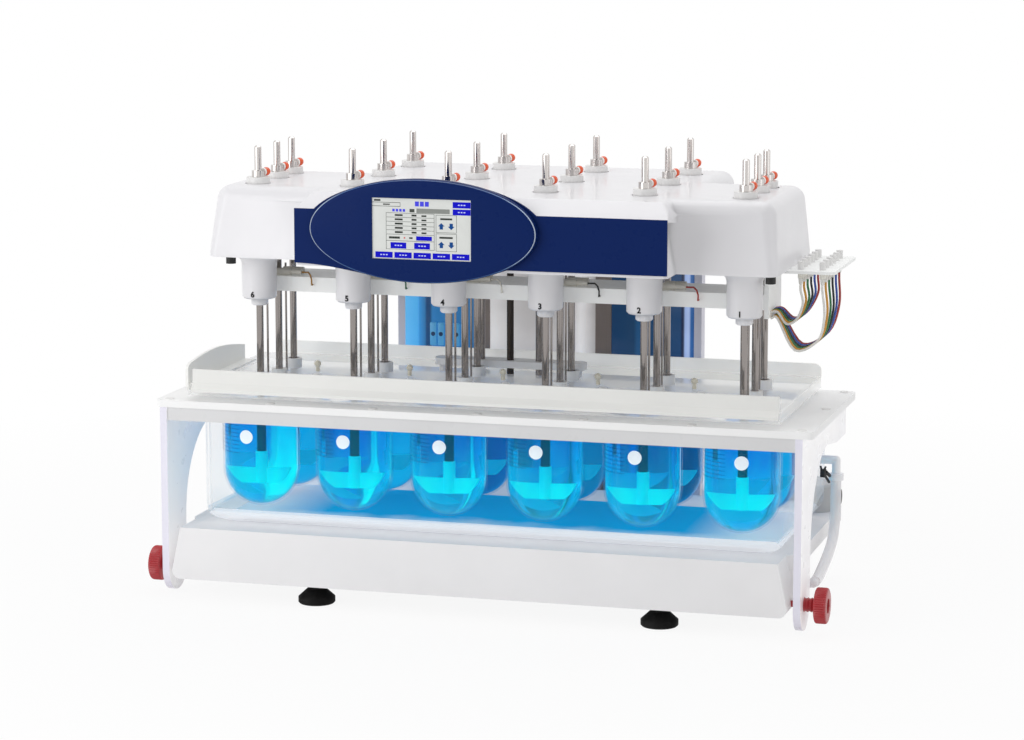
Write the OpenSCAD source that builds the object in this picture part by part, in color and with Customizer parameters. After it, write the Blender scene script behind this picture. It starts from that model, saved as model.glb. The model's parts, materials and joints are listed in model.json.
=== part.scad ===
// Bench dissolution tester: twelve stirred glass vessels in a clear water bath,
// under a drive head that rises on guide rods and carries a clear cover tray.
// X runs to the right, Y to the rear and Z up, with the bench at Z = 0.
// Depths are counted from the front row of spindles.

/* [Spindle grid] */
// Distance between neighbouring columns of spindles
col_pitch = 140; // [136:1:150]
// Distance between the front and the rear row of spindles
row_pitch = 140; // [134:1:144]

/* [Vessels] */
// Outer diameter of a vessel
vessel_od = 110; // [100:1:110]
// Thickness of the glass
vessel_wall = 2.5; // [2:0.1:4]
// Depth of a vessel below the top of the vessel plate
vessel_depth = 165; // [150:1:180]
// Width of the rim that rests on the plate
rim_w = 3; // [2:0.1:3.5]
// Height of the rim
rim_h = 6; // [4:0.5:6]

/* [Spindles] */
// Diameter of every shaft and rod
shaft_d = 10; // [9:0.1:12]
// Height of a shaft tip above the head
tip_h = 53; // [45:1:70]
// Width of a paddle blade at its top
paddle_w = 75; // [70:1:78]
// Height of a paddle blade
paddle_h = 19; // [17:0.5:21]
// Thickness of a paddle blade
paddle_t = 4; // [3:0.5:6]
// Gap between a paddle and the bottom of its vessel
paddle_gap = 35; // [23:1:40]
// Diameter of the sleeve that holds the shaft in the paddle
sleeve_d = 13; // [12.5:0.1:16]
// Height of the sleeve above the blade
sleeve_h = 24; // [15:1:35]
// Diameter of the white collar on top of the head
collar_d = 33; // [28:0.5:36]
// Height of the collar above the head
collar_h = 9; // [6:0.5:11]
// Diameter of the steel clamp on a collar
clamp_d = 18; // [15:0.5:22]
// Height of the clamp
clamp_h = 9; // [7:0.5:12]
// Diameter of the clamp's ball grip
ball_d = 12; // [9:0.5:13]

/* [Vessel plate] */
// Thickness of the vessel plate
plate_t = 10; // [8:0.5:16]
// Plate edge beyond the end columns
plate_side = 117; // [114:1:130]
// Plate edge in front of the front row
plate_front = 110; // [106:1:120]
// Plate edge behind the rear row
plate_rear = 84; // [80:1:90]
// Radius of the plate's corners
plate_r = 8; // [4:1:14]
// Diameter of a screw cap on the plate
cap_d = 13; // [9:0.5:16]

/* [Bath] */
// Thickness of the bath wall
tub_wall = 5; // [3:0.5:8]
// Corner radius of the bath
tub_r = 46; // [30:1:60]
// Radius of the bath's lower edges
tub_low_r = 50; // [30:1:54]
// Water depth left under the vessels
tub_clear = 10; // [6:1:20]
// Bath wall in front of the front row
tub_front = 94; // [80:1:98]
// Bath wall behind the rear row
tub_rear = 66; // [64:1:72]

/* [Side panels] */
// Thickness of a side panel
panel_t = 10; // [8:0.5:12]
// Width of the panel's leg
leg_w = 68; // [62:1:74]
// Height of the panel's top arm
arm_h = 51; // [44:1:58]
// Width of the arch between leg and arm
arch_w = 118; // [100:1:130]
// Height of the arch between leg and arm
arch_h = 127; // [100:1:132]
// Height of the fascia strip under the plate
fascia_h = 19; // [12:1:22]
// Diameter of a lock knob
knob_d = 49; // [42:1:54]
// Thickness of a lock knob
knob_t = 17; // [13:1:22]

/* [Base] */
// Height of the base case
base_h = 74; // [70:1:100]
// Height of the feet
foot_h = 29; // [25:1:40]
// Diameter of a foot
foot_d = 52; // [40:1:60]
// Wall of the base case
base_wall = 4; // [3:0.5:6]
// Base case in front of the front row
base_front = 115; // [112:1:120]

/* [Rear tower] */
// Distance from the rear row to the guide rods
guide_back = 140; // [134:1:146]
// Width of the lift column
column_w = 180; // [178:1:186]
// Width of a rear cabinet
cabinet_w = 125; // [122:1:130]
// Depth of the column and the cabinets
tower_d = 72; // [66:1:78]
// Wall of the column and the cabinets
tower_wall = 4; // [3:0.5:5]
// Travel of the head
lift_travel = 200; // [150:5:220]

/* [Head] */
// Clear height between the vessel plate and the head
head_gap = 198; // [190:1:240]
// Height of the head
head_h = 99; // [95:1:120]
// Head wing beyond the end columns
wing_side = 55; // [50:1:58]
// Head wing in front of the front row
wing_front = 60; // [54:1:70]
// Head wing behind the rear row
wing_rear = 55; // [50:1:60]
// Middle of the head beyond its outer columns
centre_side = 52; // [46:1:56]
// Middle of the head in front of the front row
centre_front = 112; // [100:1:114]
// Middle of the head behind the guide rods
centre_rear = 85; // [80:1:95]
// Wall of the head cover
cover_wall = 4; // [3:0.5:6]
// Edge radius on top of the head cover
edge_r = 20; // [12:1:26]
// Slope of the cover walls, as inset at the top
draft = 6; // [3:1:9]
// Thickness of the head's base plate
floor_t = 6; // [5:0.5:8]

/* [Console] */
// Width of the oval console
console_w = 322; // [280:2:340]
// Height of the oval console
console_h = 142; // [124:2:146]
// Thickness of the console
console_t = 12; // [8:1:18]
// Width of the touch screen
screen_w = 140; // [110:1:150]
// Height of the touch screen
screen_h = 83; // [65:1:88]

/* [Hubs and probes] */
// Diameter of a front spindle hub
hub_d = 50; // [46:1:52]
// Height of a front spindle hub
hub_h = 64; // [56:1:68]
// Diameter of the flange on top of a hub
hub_flange_d = 63; // [56:1:64]
// Height of the probe beam
beam_h = 21; // [16:1:26]
// Depth of the probe beam
beam_d = 88; // [84:1:89]
// Height of the gap between the head and the beam
beam_drop = 36; // [30:1:40]
// Diameter of a sample probe
probe_d = 3; // [2:0.1:4]

/* [Cover tray] */
// Gap between the vessel rims and the tray
tray_gap = 1; // [0.6:0.1:4]
// Thickness of the clear tray sheet
tray_t = 5; // [4:0.5:6]
// Height of the clear rim of the tray
tray_h = 15; // [12:1:18]
// Tray edge beyond the end columns
tray_side = 70; // [66:1:76]
// Tray edge in front of the front row
tray_front = 102; // [96:1:104]
// Tray edge behind the rear row
tray_rear = 63; // [60:1:66]

/* [Hidden] */
$fn = 48;

// Running clearance of a shaft in its bearing, on the radius
slip = 0.05;
// Clearance between pieces that move past each other
clear = 0.4;
// Clearance between pieces that sit in each other
seat = 0.05;
// Overlap of cutters past the faces they cut
cut = 1;

// Heights from the bench upwards
columns = 6;
base_top = foot_h + base_h;
tub_h = vessel_depth - plate_t + tub_clear + tub_wall;
plate_top = base_top + tub_h + plate_t;
vessel_bottom = plate_top - vessel_depth;
blade_z = vessel_bottom + vessel_wall + paddle_gap;
rim_top = plate_top + rim_h;
tray_z = rim_top + tray_gap;
sheet_top = tray_z + tray_t;
head_z = plate_top + head_gap;
head_top = head_z + head_h;
floor_top = head_z + floor_t;
tip_z = head_top + tip_h;
beam_top = head_z - beam_drop;
beam_z = beam_top - beam_h;

// Plan sizes, with depths counted from the front row
grid_half = (columns - 1) / 2 * col_pitch;
plate_half = grid_half + plate_side;
plate_back = row_pitch + plate_rear;
panel_inset = 6;
panel_out = plate_half - panel_inset;
panel_in = panel_out - panel_t;
panel_gap = 7;
base_half = panel_in - panel_gap;
base_slope = 13;
right_in = 8;
body_half = base_half - 72;
deck_half = base_half - 6;
deck_front = 60;
deck_t = 21;
deck_r = 24;
tub_inset = 3;
tub_half = base_half - tub_inset;
tub_left = 28 - tub_half;
tub_right = tub_half - 7;
wing_half = grid_half + wing_side;
wing_back = row_pitch + wing_rear;
centre_half = 1.5 * col_pitch + centre_side;
centre_x = 6;
centre_r = 6;
guide_y = row_pitch + guide_back;
centre_back = guide_y + centre_rear;
rod_room = 1;
tower_front = guide_y - shaft_d / 2 - tower_wall - rod_room;
tower_back = tower_front + tower_d;
base_over = 15;
base_back = tower_back + base_over;
deck_back = base_back - 52;
mid_y = row_pitch / 2;
tray_half = grid_half + tray_side;
tray_back = row_pitch + tray_rear;
apron_t = 3;
column_x = -8;
cabinet_gap = 5;
cabinet_out = column_w / 2 + cabinet_gap + cabinet_w;
guide_out = cabinet_out - tower_wall - shaft_d / 2 - rod_room;
console_front = centre_front + apron_t + console_t;
screen_t = 3;

// Depth of the front row from the middle of the whole footprint
row_y = (console_front - centre_back) / 2;

// Head cover corners and the gap round each collar
corner_r = 14;
collar_gap = 2;
skirt_h = floor_t + 1;

// Base floor and feet
base_floor_t = 3;
base_floor_z = foot_h + base_wall;
foot_xs = [-240, 254];
foot_front = 82;
foot_rear = 40;

// Middle of the console on the front of the head, and depth of its screen recess
console_x = -70;
console_z = head_z + 54;
recess = 5;
screen_up = 3;

// Blade left under the end of the shaft
blade_sole = 6;

// Drive inside the head
pulley_d = 40;
pulley_h = 12;
pulley_z = head_z + 64;
bearing_d = 28;
bearing_h = 20;
belt_t = 2;
motor_d = 54;
motor_gap = 3;
motor_bore = 20;

// Lift inside the tower
lift_y = tower_front + tower_d / 2;
lift_screw_d = 16;
lift_tube_d = 30;
tube_bore = 20;
rod_drop = lift_travel + 100;
nut_h = 24;
lift_motor_d = 56;
coupling_d = 36;
coupling_h = 8;
coupling_drop = 23;

// Cover tray drive
screw_x = -29;
tray_guide_d = 12;
tray_guide_half = 44;
bracket_back = 30;
bracket_y = row_pitch + bracket_back;
bracket_z = sheet_top + 10;
bracket_t = 10;
bracket_half = 113;
bracket_front = 14;
bracket_rear = 18;
post_d = 12;
cover_screw_d = 10;
wheel_d = 30;
wheel_h = 9;
wheel_drop = 55;
rod_low = tray_z + 1;
rail_t = 4;
shaft_room = 6;

// Thumb knobs under the ends of the head
thumb_x = wing_half - 17;
thumb_y = -12;
thumb_d = 14;
thumb_h = 15;
thumb_stud_d = 6;

// Panel leg, knob axis and hose
panel_setback = 2;
panel_front = plate_front - panel_setback;
leg_back = leg_w - panel_front;
leg_low = 5;
arch_over = 10;
arch_fall = 72;
knob_y = 28 - panel_front;
knob_z = 42;
knob_hub = 8;
stud_d = 9;
hose_d = 15;
pipe_d = 12;
hose_x = tub_half + 15;
elbow_in = 6;
elbow_drop = 83;
elbow_h = 28;
elbow_y = row_pitch - elbow_in;
elbow_z = plate_top - elbow_drop;
hose_top = elbow_z - elbow_h;
pump_in = 48;
pump_back = 95;
barb_l = 12;
barb_room = 4;
barb_y = leg_back + barb_l + pipe_d / 2 + barb_room;
barb_z = base_top - 43;

// Sample tube ports
manifold_in = wing_half - 21;
manifold_out = wing_half + 65;
manifold_t = 4;
luer_pitch = 26;
luer_step = 30;
luer_in = 15;
luer_y = 36;
port_edge = 20;
tube_gap = 0.5;
luer_low = 20;
luer_stem_d = 6;
tube_d = 3.4;
port_x = grid_half + 22;
port_t = 6;
port_z = beam_z - 12;

// Probes and leads on the beam
beam_wall = 3;
probe_room = 0.5;
probe_out = beam_d / 2 - beam_wall - probe_d / 2 - probe_room;
rod_back = 8;
mid_rod_y = mid_y + rod_back;
probe_dip = 50;
lead_d = 2.4;
plug_d = 10;
plug_in = 12;
plug_y = mid_y - beam_d / 2 + plug_in;
plug_tail = 20;

function col_x(i) = (i - (columns - 1) / 2) * col_pitch;
function spindle_x(n) = col_x(columns - n);
function unit(v) = v / norm(v);
function luer_x(c) = wing_half + luer_in + luer_step * c;
function luer_row(k) = luer_y + luer_pitch * k;
function oval(w, h) = [for (a = [0:3:357]) [w / 2 * cos(a), h / 2 * sin(a)]];

// Rod tops that stand beside the spindles on the head
guide_xs = [-guide_out, -col_pitch / 2, col_pitch / 2, guide_out];
tray_guide_xs = [screw_x - tray_guide_half, screw_x + tray_guide_half];
extra_tops = concat(
    [for (s = [-1, 1]) [s * grid_half, mid_rod_y]],
    [for (x = guide_xs) [x, guide_y]]
);
spindle_tops = [for (i = [0:columns - 1]) for (y = [0, row_pitch]) [col_x(i), y]];

// Screw caps along the front of the plate and at its ends
screw_spots = concat(
    [for (i = [-3:3]) [i * (plate_half - 17) / 3, 12 - plate_front]],
    [for (s = [-1, 1]) for (y = [mid_y, plate_back - 12]) [s * (plate_half - 15), y]]
);

// Routes of the free cords, chosen by hand
hose_route = [
    [hose_x, elbow_y, hose_top], [hose_x, elbow_y, hose_top - 26],
    [hose_x, elbow_y - 3, hose_top - 54], [hose_x, elbow_y - 20, hose_top - 80],
    [hose_x, elbow_y - 54, barb_z + 17], [hose_x, elbow_y - 114, barb_z + 3],
    [hose_x, barb_y + 14, barb_z], [hose_x, barb_y, barb_z]
];
function tube_route(c, k) = [
    [luer_x(c), luer_row(k), head_z - luer_low - tube_gap],
    [luer_x(c), luer_row(k), head_z - luer_low - 9],
    [luer_x(c) + 3, 38 + 23 * k, head_z - 48 - 16 * c],
    [luer_x(c) - 6, 42 + 17 * k, head_z - 70 - 28 * c],
    [luer_x(c) - 20 - 18 * c, 42 + 12 * k, head_z - 77 - 36 * c],
    [port_x + 16, mid_y - 30 + 8 * k, head_z - 61 - 9 * c],
    [port_x + port_t + tube_gap, mid_y - 30 + 8 * k, head_z - 61 - 9 * c]
];

module from_front_row() {
    translate([0, row_y, 0]) children();
}

// Flat outline with round corners
module rounded_rect(x0, x1, y0, y1, r) {
    translate([x0 + r, y0]) square([x1 - x0 - 2 * r, y1 - y0]);
    translate([x0, y0 + r]) square([x1 - x0, y1 - y0 - 2 * r]);
    for (x = [x0 + r, x1 - r], y = [y0 + r, y1 - r]) translate([x, y]) circle(r = r);
}

// Upright tube
module ring(od, id, h) {
    difference() {
        cylinder(d = od, h = h);
        translate([0, 0, -cut]) cylinder(d = id, h = h + 2 * cut);
    }
}

// Round bar along X
module bar_x(d, l) {
    rotate([0, 90, 0]) cylinder(d = d, h = l);
}

// Tube swept along a list of points
function frames(t, i, u) =
    i == len(t) ? [] : let (v = unit(u - (u * t[i]) * t[i])) concat([v], frames(t, i + 1, v));
module swept(path, d, sides) {
    n = len(path);
    t = [for (i = [0:n - 1]) unit(path[min(i + 1, n - 1)] - path[max(i - 1, 0)])];
    u = frames(t, 0, abs(t[0][1]) > 0.7 ? [1, 0, 0] : [0, 1, 0]);
    points = [
        for (i = [0:n - 1]) for (s = [0:sides - 1])
            path[i] + d / 2 * (cos(360 * s / sides) * u[i] + sin(360 * s / sides) * cross(t[i], u[i]))
    ];
    walls = [
        for (i = [0:n - 2]) for (s = [0:sides - 1])
            let (a = i * sides + s, b = i * sides + (s + 1) % sides)
            each [[a, a + sides, b], [b, a + sides, b + sides]]
    ];
    start = [for (s = [0:sides - 1]) s];
    end = [for (s = [0:sides - 1]) n * sides - 1 - s];
    polyhedron(points, concat(walls, [start], [end]));
}

// White base: a front box that is widest low down, a body behind it and a deck over both
module base_profile(inset) {
    r = 12;
    arc = [for (a = [0:-15:-90]) [r * cos(a) - r, foot_h + inset + r + r * sin(a)]];
    side = concat([[-base_slope, base_top - inset]], arc);
    right = base_half - right_in - inset;
    left = inset - base_half;
    n = len(side) - 1;
    polygon(concat(
        [for (p = side) [right + p[0], p[1]]], [for (i = [n:-1:0]) [left - side[i][0], side[i][1]]]
    ));
}
module base_box(y0, y1, inset) {
    translate([0, y1, 0]) rotate([90, 0, 0]) linear_extrude(y1 - y0) base_profile(inset);
}
module base_case() {
    side_lip = 30;
    end_lip = 16;
    bore_l = 40;
    w = base_wall;
    color("white") from_front_row() difference() {
        union() {
            base_box(-base_front, 0, 0);
            translate([-body_half, -w, foot_h]) cube([2 * body_half, base_back + w, base_h]);
            translate([0, 0, base_top - deck_t]) linear_extrude(deck_t)
                rounded_rect(-deck_half, deck_half, -deck_front, deck_back, deck_r);
        }
        base_box(w - base_front, -w, w);
        translate([w - body_half, -w - cut, foot_h + w])
            cube([2 * (body_half - w), base_back + cut, base_h - 2 * w]);
        translate([side_lip - body_half, end_lip - base_front, foot_h - cut])
            cube([2 * (body_half - side_lip), base_front + base_back - 2 * end_lip, w + 2 * cut]);
        translate([0, lift_y, base_top - w - cut])
            cylinder(d = lift_screw_d + 2 * slip, h = w + 2 * cut);
        for (s = [-1, 1]) translate([s * (base_half - 15) - bore_l / 2, knob_y, knob_z])
            bar_x(stud_d + 2 * slip, bore_l);
        translate([base_half - bore_l / 2, barb_y - barb_l, barb_z]) bar_x(pipe_d + 2 * seat, bore_l);
    }
}
module base_floor() {
    side = 8;
    end = 10;
    color("silver") from_front_row() translate([side - body_half, end - base_front, base_floor_z])
        cube([2 * (body_half - side), base_front + base_back - 2 * end, base_floor_t]);
}
module levelling_feet() {
    neck_h = 9;
    neck_d = 26;
    bevel = 2;
    disc_h = 7;
    cone_z = bevel + disc_h;
    color("#202020") from_front_row()
        for (x = foot_xs, y = [-foot_front, base_back - foot_rear]) translate([x, y, 0]) {
            cylinder(d1 = foot_d - 2 * bevel, d2 = foot_d, h = bevel);
            translate([0, 0, bevel]) cylinder(d = foot_d, h = disc_h);
            translate([0, 0, cone_z]) cylinder(d1 = foot_d, d2 = neck_d + 2, h = foot_h - neck_h - cone_z);
            translate([0, 0, foot_h - neck_h]) cylinder(d = neck_d, h = neck_h + base_wall);
        }
}

// Clear bath with large round corners and lower edges
module tub_block(inset, h) {
    x0 = tub_left + inset;
    x1 = tub_right - inset;
    y0 = inset - tub_front;
    y1 = row_pitch + tub_rear - inset;
    z = base_top + inset;
    r = tub_low_r - inset;
    tall = h + 2 * tub_low_r;
    intersection() {
        translate([0, 0, z]) linear_extrude(h) rounded_rect(x0, x1, y0, y1, tub_r - inset);
        translate([0, y1 + cut, 0]) rotate([90, 0, 0]) linear_extrude(y1 - y0 + 2 * cut)
            rounded_rect(x0, x1, z, z + tall, r);
        translate([x0 - cut, 0, 0]) rotate([90, 0, 90]) linear_extrude(x1 - x0 + 2 * cut)
            rounded_rect(y0, y1, z, z + tall, r);
    }
}
module bath_tub() {
    color("#d8eef8", 0.5) from_front_row() difference() {
        tub_block(0, tub_h);
        tub_block(tub_wall, tub_h);
        translate([tub_right - tub_wall - cut, elbow_y, elbow_z])
            bar_x(pipe_d + 2 * seat, tub_wall + 2 * cut);
    }
}

// Frosted side panel: a leg, a top arm and the arch between them
module panel_outline() {
    top = plate_top - plate_t;
    arm_z = top - arm_h;
    arch_z = arm_z + arch_over - arch_h;
    low = leg_low + leg_w / 2;
    back = plate_back - panel_setback;
    arch = [for (a = [0:6:90]) [leg_back + arch_w * (1 - cos(a)), arch_z + arch_h * sin(a)]];
    difference() {
        union() {
            polygon(concat(
                [[-panel_front, top], [-panel_front, low], [leg_back, low]], arch,
                [[leg_back + arch_w + arch_fall, arm_z], [back, arm_z], [back, top]]
            ));
            translate([leg_w / 2 - panel_front, low]) circle(d = leg_w);
        }
        translate([knob_y, knob_z]) circle(d = stud_d + 2 * slip);
    }
}
module side_panel(s) {
    color("#eef2f8", 0.7) from_front_row()
        translate([s > 0 ? panel_in - right_in : -panel_out, 0, 0]) rotate([90, 0, 90])
            linear_extrude(panel_t) panel_outline();
}

// White plate that holds the vessels
module vessel_plate() {
    color("white") from_front_row() difference() {
        translate([0, 0, plate_top - plate_t]) linear_extrude(plate_t)
            rounded_rect(-plate_half, plate_half, -plate_front, plate_back, plate_r);
        for (p = spindle_tops) translate([p[0], p[1], plate_top - plate_t - cut])
            cylinder(d = vessel_od + 1, h = plate_t + 2 * cut, $fn = 96);
    }
}
module fascia_strip() {
    fascia_t = 6;
    left = clear - panel_in;
    right = panel_in - right_in - clear;
    color("#f0f0f0") from_front_row()
        translate([left, panel_setback - panel_front, plate_top - plate_t - fascia_h])
            cube([right - left, fascia_t, fascia_h]);
}
module plate_screws() {
    cap_h = 1;
    color("white") from_front_row() for (p = screw_spots) translate([p[0], p[1], plate_top]) {
        cylinder(d = cap_d, h = cap_h);
        translate([0, 0, cap_h]) cylinder(d1 = cap_d, d2 = cap_d - 5, h = cap_h);
    }
}

// Glass vessels with round bottoms and a rim
module vessel_profile() {
    r = vessel_od / 2;
    difference() {
        union() {
            intersection() {
                circle(r = r, $fn = 96);
                translate([0, -r]) square([r, r]);
            }
            square([r, vessel_depth - r + rim_h]);
            translate([0, vessel_depth - r]) square([r + rim_w, rim_h]);
        }
        intersection() {
            circle(r = r - vessel_wall, $fn = 96);
            translate([-cut, -r]) square([r + cut, r]);
        }
        translate([-cut, -seat]) square([r - vessel_wall + cut, vessel_depth + rim_h]);
    }
}
module vessels() {
    color("#bfe6ff", 0.4) from_front_row() for (p = spindle_tops)
        translate([p[0], p[1], vessel_bottom + vessel_od / 2])
            rotate_extrude($fn = 96) vessel_profile();
}

// Tower behind the bath
module tower_box(x0, x1) {
    top = head_z - clear;
    w = tower_wall;
    difference() {
        translate([x0, tower_front, base_top]) cube([x1 - x0, tower_d, top - base_top]);
        translate([x0 + w, tower_front + w, base_top - cut])
            cube([x1 - x0 - 2 * w, tower_d - 2 * w, top - base_top - w + cut]);
        for (x = guide_xs) translate([x, guide_y, base_top - cut])
            cylinder(d = shaft_d + 2 * slip, h = top - base_top + 2 * cut);
        children();
    }
}
module lift_column() {
    color("#d9d9d9") from_front_row()
        tower_box(column_x - column_w / 2, column_x + column_w / 2)
            translate([0, lift_y, head_z - 2 * tower_wall])
                cylinder(d = lift_tube_d + 2 * slip, h = 3 * tower_wall);
}
module column_trim() {
    strip_w = 24;
    strip_t = 1.5;
    post_w = 11;
    joint = (column_w + cabinet_gap) / 2;
    color("#8a8580") from_front_row() for (s = [-1, 1])
        translate([column_x + s * joint - strip_w / 2, tower_front - strip_t, base_top])
            cube([strip_w, strip_t, head_z - clear - base_top]);
    color("#e8e8f0") from_front_row() for (s = [-1, 1])
        translate([s * (cabinet_out + post_w / 2) - post_w / 2, tower_front, base_top])
            cube([post_w, 2 * post_w, head_z - clear - base_top]);
}
module rear_cabinets() {
    inner = column_w / 2 + cabinet_gap;
    color("#1f7fd0", 0.7) from_front_row() {
        tower_box(-cabinet_out, column_x - inner);
        tower_box(column_x + inner, cabinet_out);
    }
}
module lift_motor() {
    low = base_floor_z + base_floor_t;
    color("#303030") from_front_row() translate([0, lift_y, low])
        cylinder(d = lift_motor_d, h = base_top - coupling_drop - clear - low);
}
module lift_screw() {
    top = head_z - 12;
    low = base_top - coupling_drop;
    color("#707070") from_front_row() translate([0, lift_y, low]) {
        cylinder(d = lift_screw_d, h = top - low);
        cylinder(d = coupling_d, h = coupling_h);
    }
}
module circulator() {
    d = 80;
    h = 36;
    bevel = 3;
    outlet_d = 22;
    color("#b8b8b8") from_front_row() translate([base_half - pump_in, base_back - pump_back, base_top]) {
        cylinder(d = d, h = h);
        translate([0, 0, h]) cylinder(d1 = d, d2 = d - 2 * bevel, h = bevel);
        translate([d / 2 - 1, 0, h / 2]) bar_x(outlet_d, 6);
    }
}
module hose_fittings() {
    spigot = 4;
    inlet = tub_right - tub_wall - spigot;
    stub = base_half - right_in - base_slope;
    clip_h = 9;
    color("white") from_front_row() {
        translate([inlet, elbow_y, elbow_z]) bar_x(pipe_d, hose_x - inlet);
        translate([hose_x, elbow_y, elbow_z]) sphere(d = pipe_d);
        translate([hose_x, elbow_y, hose_top]) cylinder(d = pipe_d, h = elbow_z - hose_top);
        translate([hose_x, elbow_y, hose_top]) ring(hose_d + 6, pipe_d + 2 * seat, clip_h);
        translate([hose_x, barb_y - barb_l, barb_z]) sphere(d = pipe_d);
        translate([hose_x, barb_y, barb_z]) rotate([90, 0, 0]) cylinder(d = pipe_d, h = barb_l);
        translate([stub, barb_y - barb_l, barb_z]) bar_x(pipe_d, hose_x - stub);
    }
}
module bath_hose() {
    color("#e6eef0", 0.6) from_front_row() swept(hose_route, hose_d, 10);
}

// Red fluted lock knob with its stud, pointing along +X
module lock_knob(s) {
    flutes = 24;
    flute_d = 4;
    hub_d = 20;
    socket = 5;
    out = s > 0 ? panel_out - right_in : panel_out;
    stud_in = base_half - right_in - 22;
    face = panel_out + knob_hub;
    color("#b3262c") from_front_row() mirror([s > 0 ? 0 : 1, 0, 0]) translate([0, knob_y, knob_z])
        difference() {
            union() {
                translate([face, 0, 0]) bar_x(knob_d, knob_t);
                translate([out + clear, 0, 0]) bar_x(hub_d, face - out);
                translate([stud_in, 0, 0]) bar_x(stud_d, face - stud_in);
            }
            for (i = [0:flutes - 1]) rotate([360 / flutes * i, 0, 0])
                translate([face - cut, 0, knob_d / 2 + flute_d / 5]) bar_x(flute_d, knob_t + 2 * cut);
            translate([face + knob_t - socket, 0, 0]) bar_x(hub_d, socket + cut);
        }
}

// Moulded head cover: two wings and a deeper middle with a sloping brow
module wing_block(inset) {
    r = edge_r - inset;
    b = corner_r - inset;
    x = wing_half - inset;
    y0 = inset - wing_front;
    y1 = wing_back - inset;
    lip = inset > 0 ? -cut : 0;
    hull() {
        translate([0, 0, head_z + lip]) linear_extrude(skirt_h - lip)
            rounded_rect(-x, x, y0, y1, b, $fn = 32);
        for (sx = [-1, 1], y = [y0 + 2 * draft + r, y1 - draft - r])
            translate([sx * (x - draft - r), y, head_top - edge_r]) sphere(r = r, $fn = 32);
    }
}
module centre_block(inset) {
    r = edge_r - inset;
    b = corner_r - inset;
    brow_d = 38;
    brow_h = 22;
    x = centre_half - inset;
    y0 = inset - centre_front;
    y1 = centre_back - inset;
    lip = inset > 0 ? -cut : 0;
    hull() {
        translate([0, 0, head_z + lip]) linear_extrude(skirt_h - lip)
            rounded_rect(centre_x - x, centre_x + x, y0, y1, centre_r, $fn = 32);
        translate([centre_x - x, y0, head_top - brow_h - inset - 2]) cube([2 * x, 1, 2]);
        for (sx = [-1, 1]) {
            translate([centre_x + sx * (x - draft - b), y0 + brow_d, head_top - corner_r])
                sphere(r = b, $fn = 32);
            translate([centre_x + sx * (x - draft - r), y1 - draft - r, head_top - edge_r])
                sphere(r = r, $fn = 32);
        }
    }
}
module head_cover() {
    color("white") from_front_row() difference() {
        union() {
            wing_block(0);
            centre_block(0);
        }
        wing_block(cover_wall);
        centre_block(cover_wall);
        for (p = concat(spindle_tops, extra_tops)) translate([p[0], p[1], head_top - 2 * edge_r])
            cylinder(d = collar_d + 2 * collar_gap, h = 3 * edge_r);
    }
}
module head_floor() {
    w = cover_wall + seat;
    boss_d = 30;
    boss_h = 14;
    deep = boss_h + floor_t + 2 * cut;
    color("#c8c8c8") from_front_row() difference() {
        union() {
            translate([0, 0, head_z]) linear_extrude(floor_t) {
                rounded_rect(w - wing_half, wing_half - w, w - wing_front, wing_back - w, corner_r - w);
                rounded_rect(
                    centre_x - centre_half + w, centre_x + centre_half - w,
                    w - centre_front, centre_back - w, centre_r
                );
            }
            for (i = [0:columns - 1]) translate([col_x(i), row_pitch, head_z - boss_h])
                cylinder(d = boss_d, h = boss_h + cut);
        }
        for (p = spindle_tops) translate([p[0], p[1], head_z - boss_h - cut])
            cylinder(d = shaft_d + 2 * clear, h = deep);
        for (p = extra_tops) translate([p[0], p[1], head_z - cut])
            cylinder(d = shaft_d + 2 * seat, h = deep);
        translate([screw_x, bracket_y, head_z - cut]) cylinder(d = cover_screw_d + 2 * slip, h = deep);
        for (s = [-1, 1]) translate([s * thumb_x, thumb_y, head_z - cut])
            cylinder(d = thumb_stud_d + 2 * slip, h = deep);
        for (x = tray_guide_xs) translate([x, bracket_y, head_z - cut])
            cylinder(d = tray_guide_d + 2 * seat, h = deep);
    }
}

// Navy apron across the front of the head, with the oval console on it
module on_front(y) {
    from_front_row() translate([0, y, 0]) rotate([90, 0, 0]) children();
}
module front_apron() {
    low = 4;
    top = 20;
    border = 8;
    sag = console_h / 2 - console_z + head_z + low;
    left = centre_x - centre_half;
    run = console_x - left;
    sweep = [for (t = [0:0.05:1]) [t * run + left, head_z + low - sag * (1 - cos(180 * t)) / 2]];
    color("#16296b") on_front(-centre_front) linear_extrude(apron_t) {
        translate([left, head_z + low]) square([2 * centre_half, head_h - low - top]);
        translate([console_x, console_z]) polygon(oval(console_w + 2 * border, console_h - 4));
        polygon(concat(sweep, [[console_x, console_z]]));
    }
}
module console() {
    color("#16296b") on_front(-centre_front - apron_t) translate([console_x, console_z, 0])
        difference() {
            union() {
                linear_extrude(console_t - recess) polygon(oval(console_w, console_h));
                translate([0, 0, console_t - recess]) linear_extrude(recess, scale = 0.97)
                    polygon(oval(console_w, console_h));
            }
            translate([-screen_w / 2 - seat, screen_up - screen_h / 2 - seat, console_t - recess])
                cube([screen_w + 2 * seat, screen_h + 2 * seat, recess + cut]);
        }
}
module touch_screen() {
    color("#cfd6d2") on_front(recess - console_front)
        translate([console_x - screen_w / 2, console_z + screen_up - screen_h / 2, 0])
            cube([screen_w, screen_h, screen_t]);
}

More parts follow.
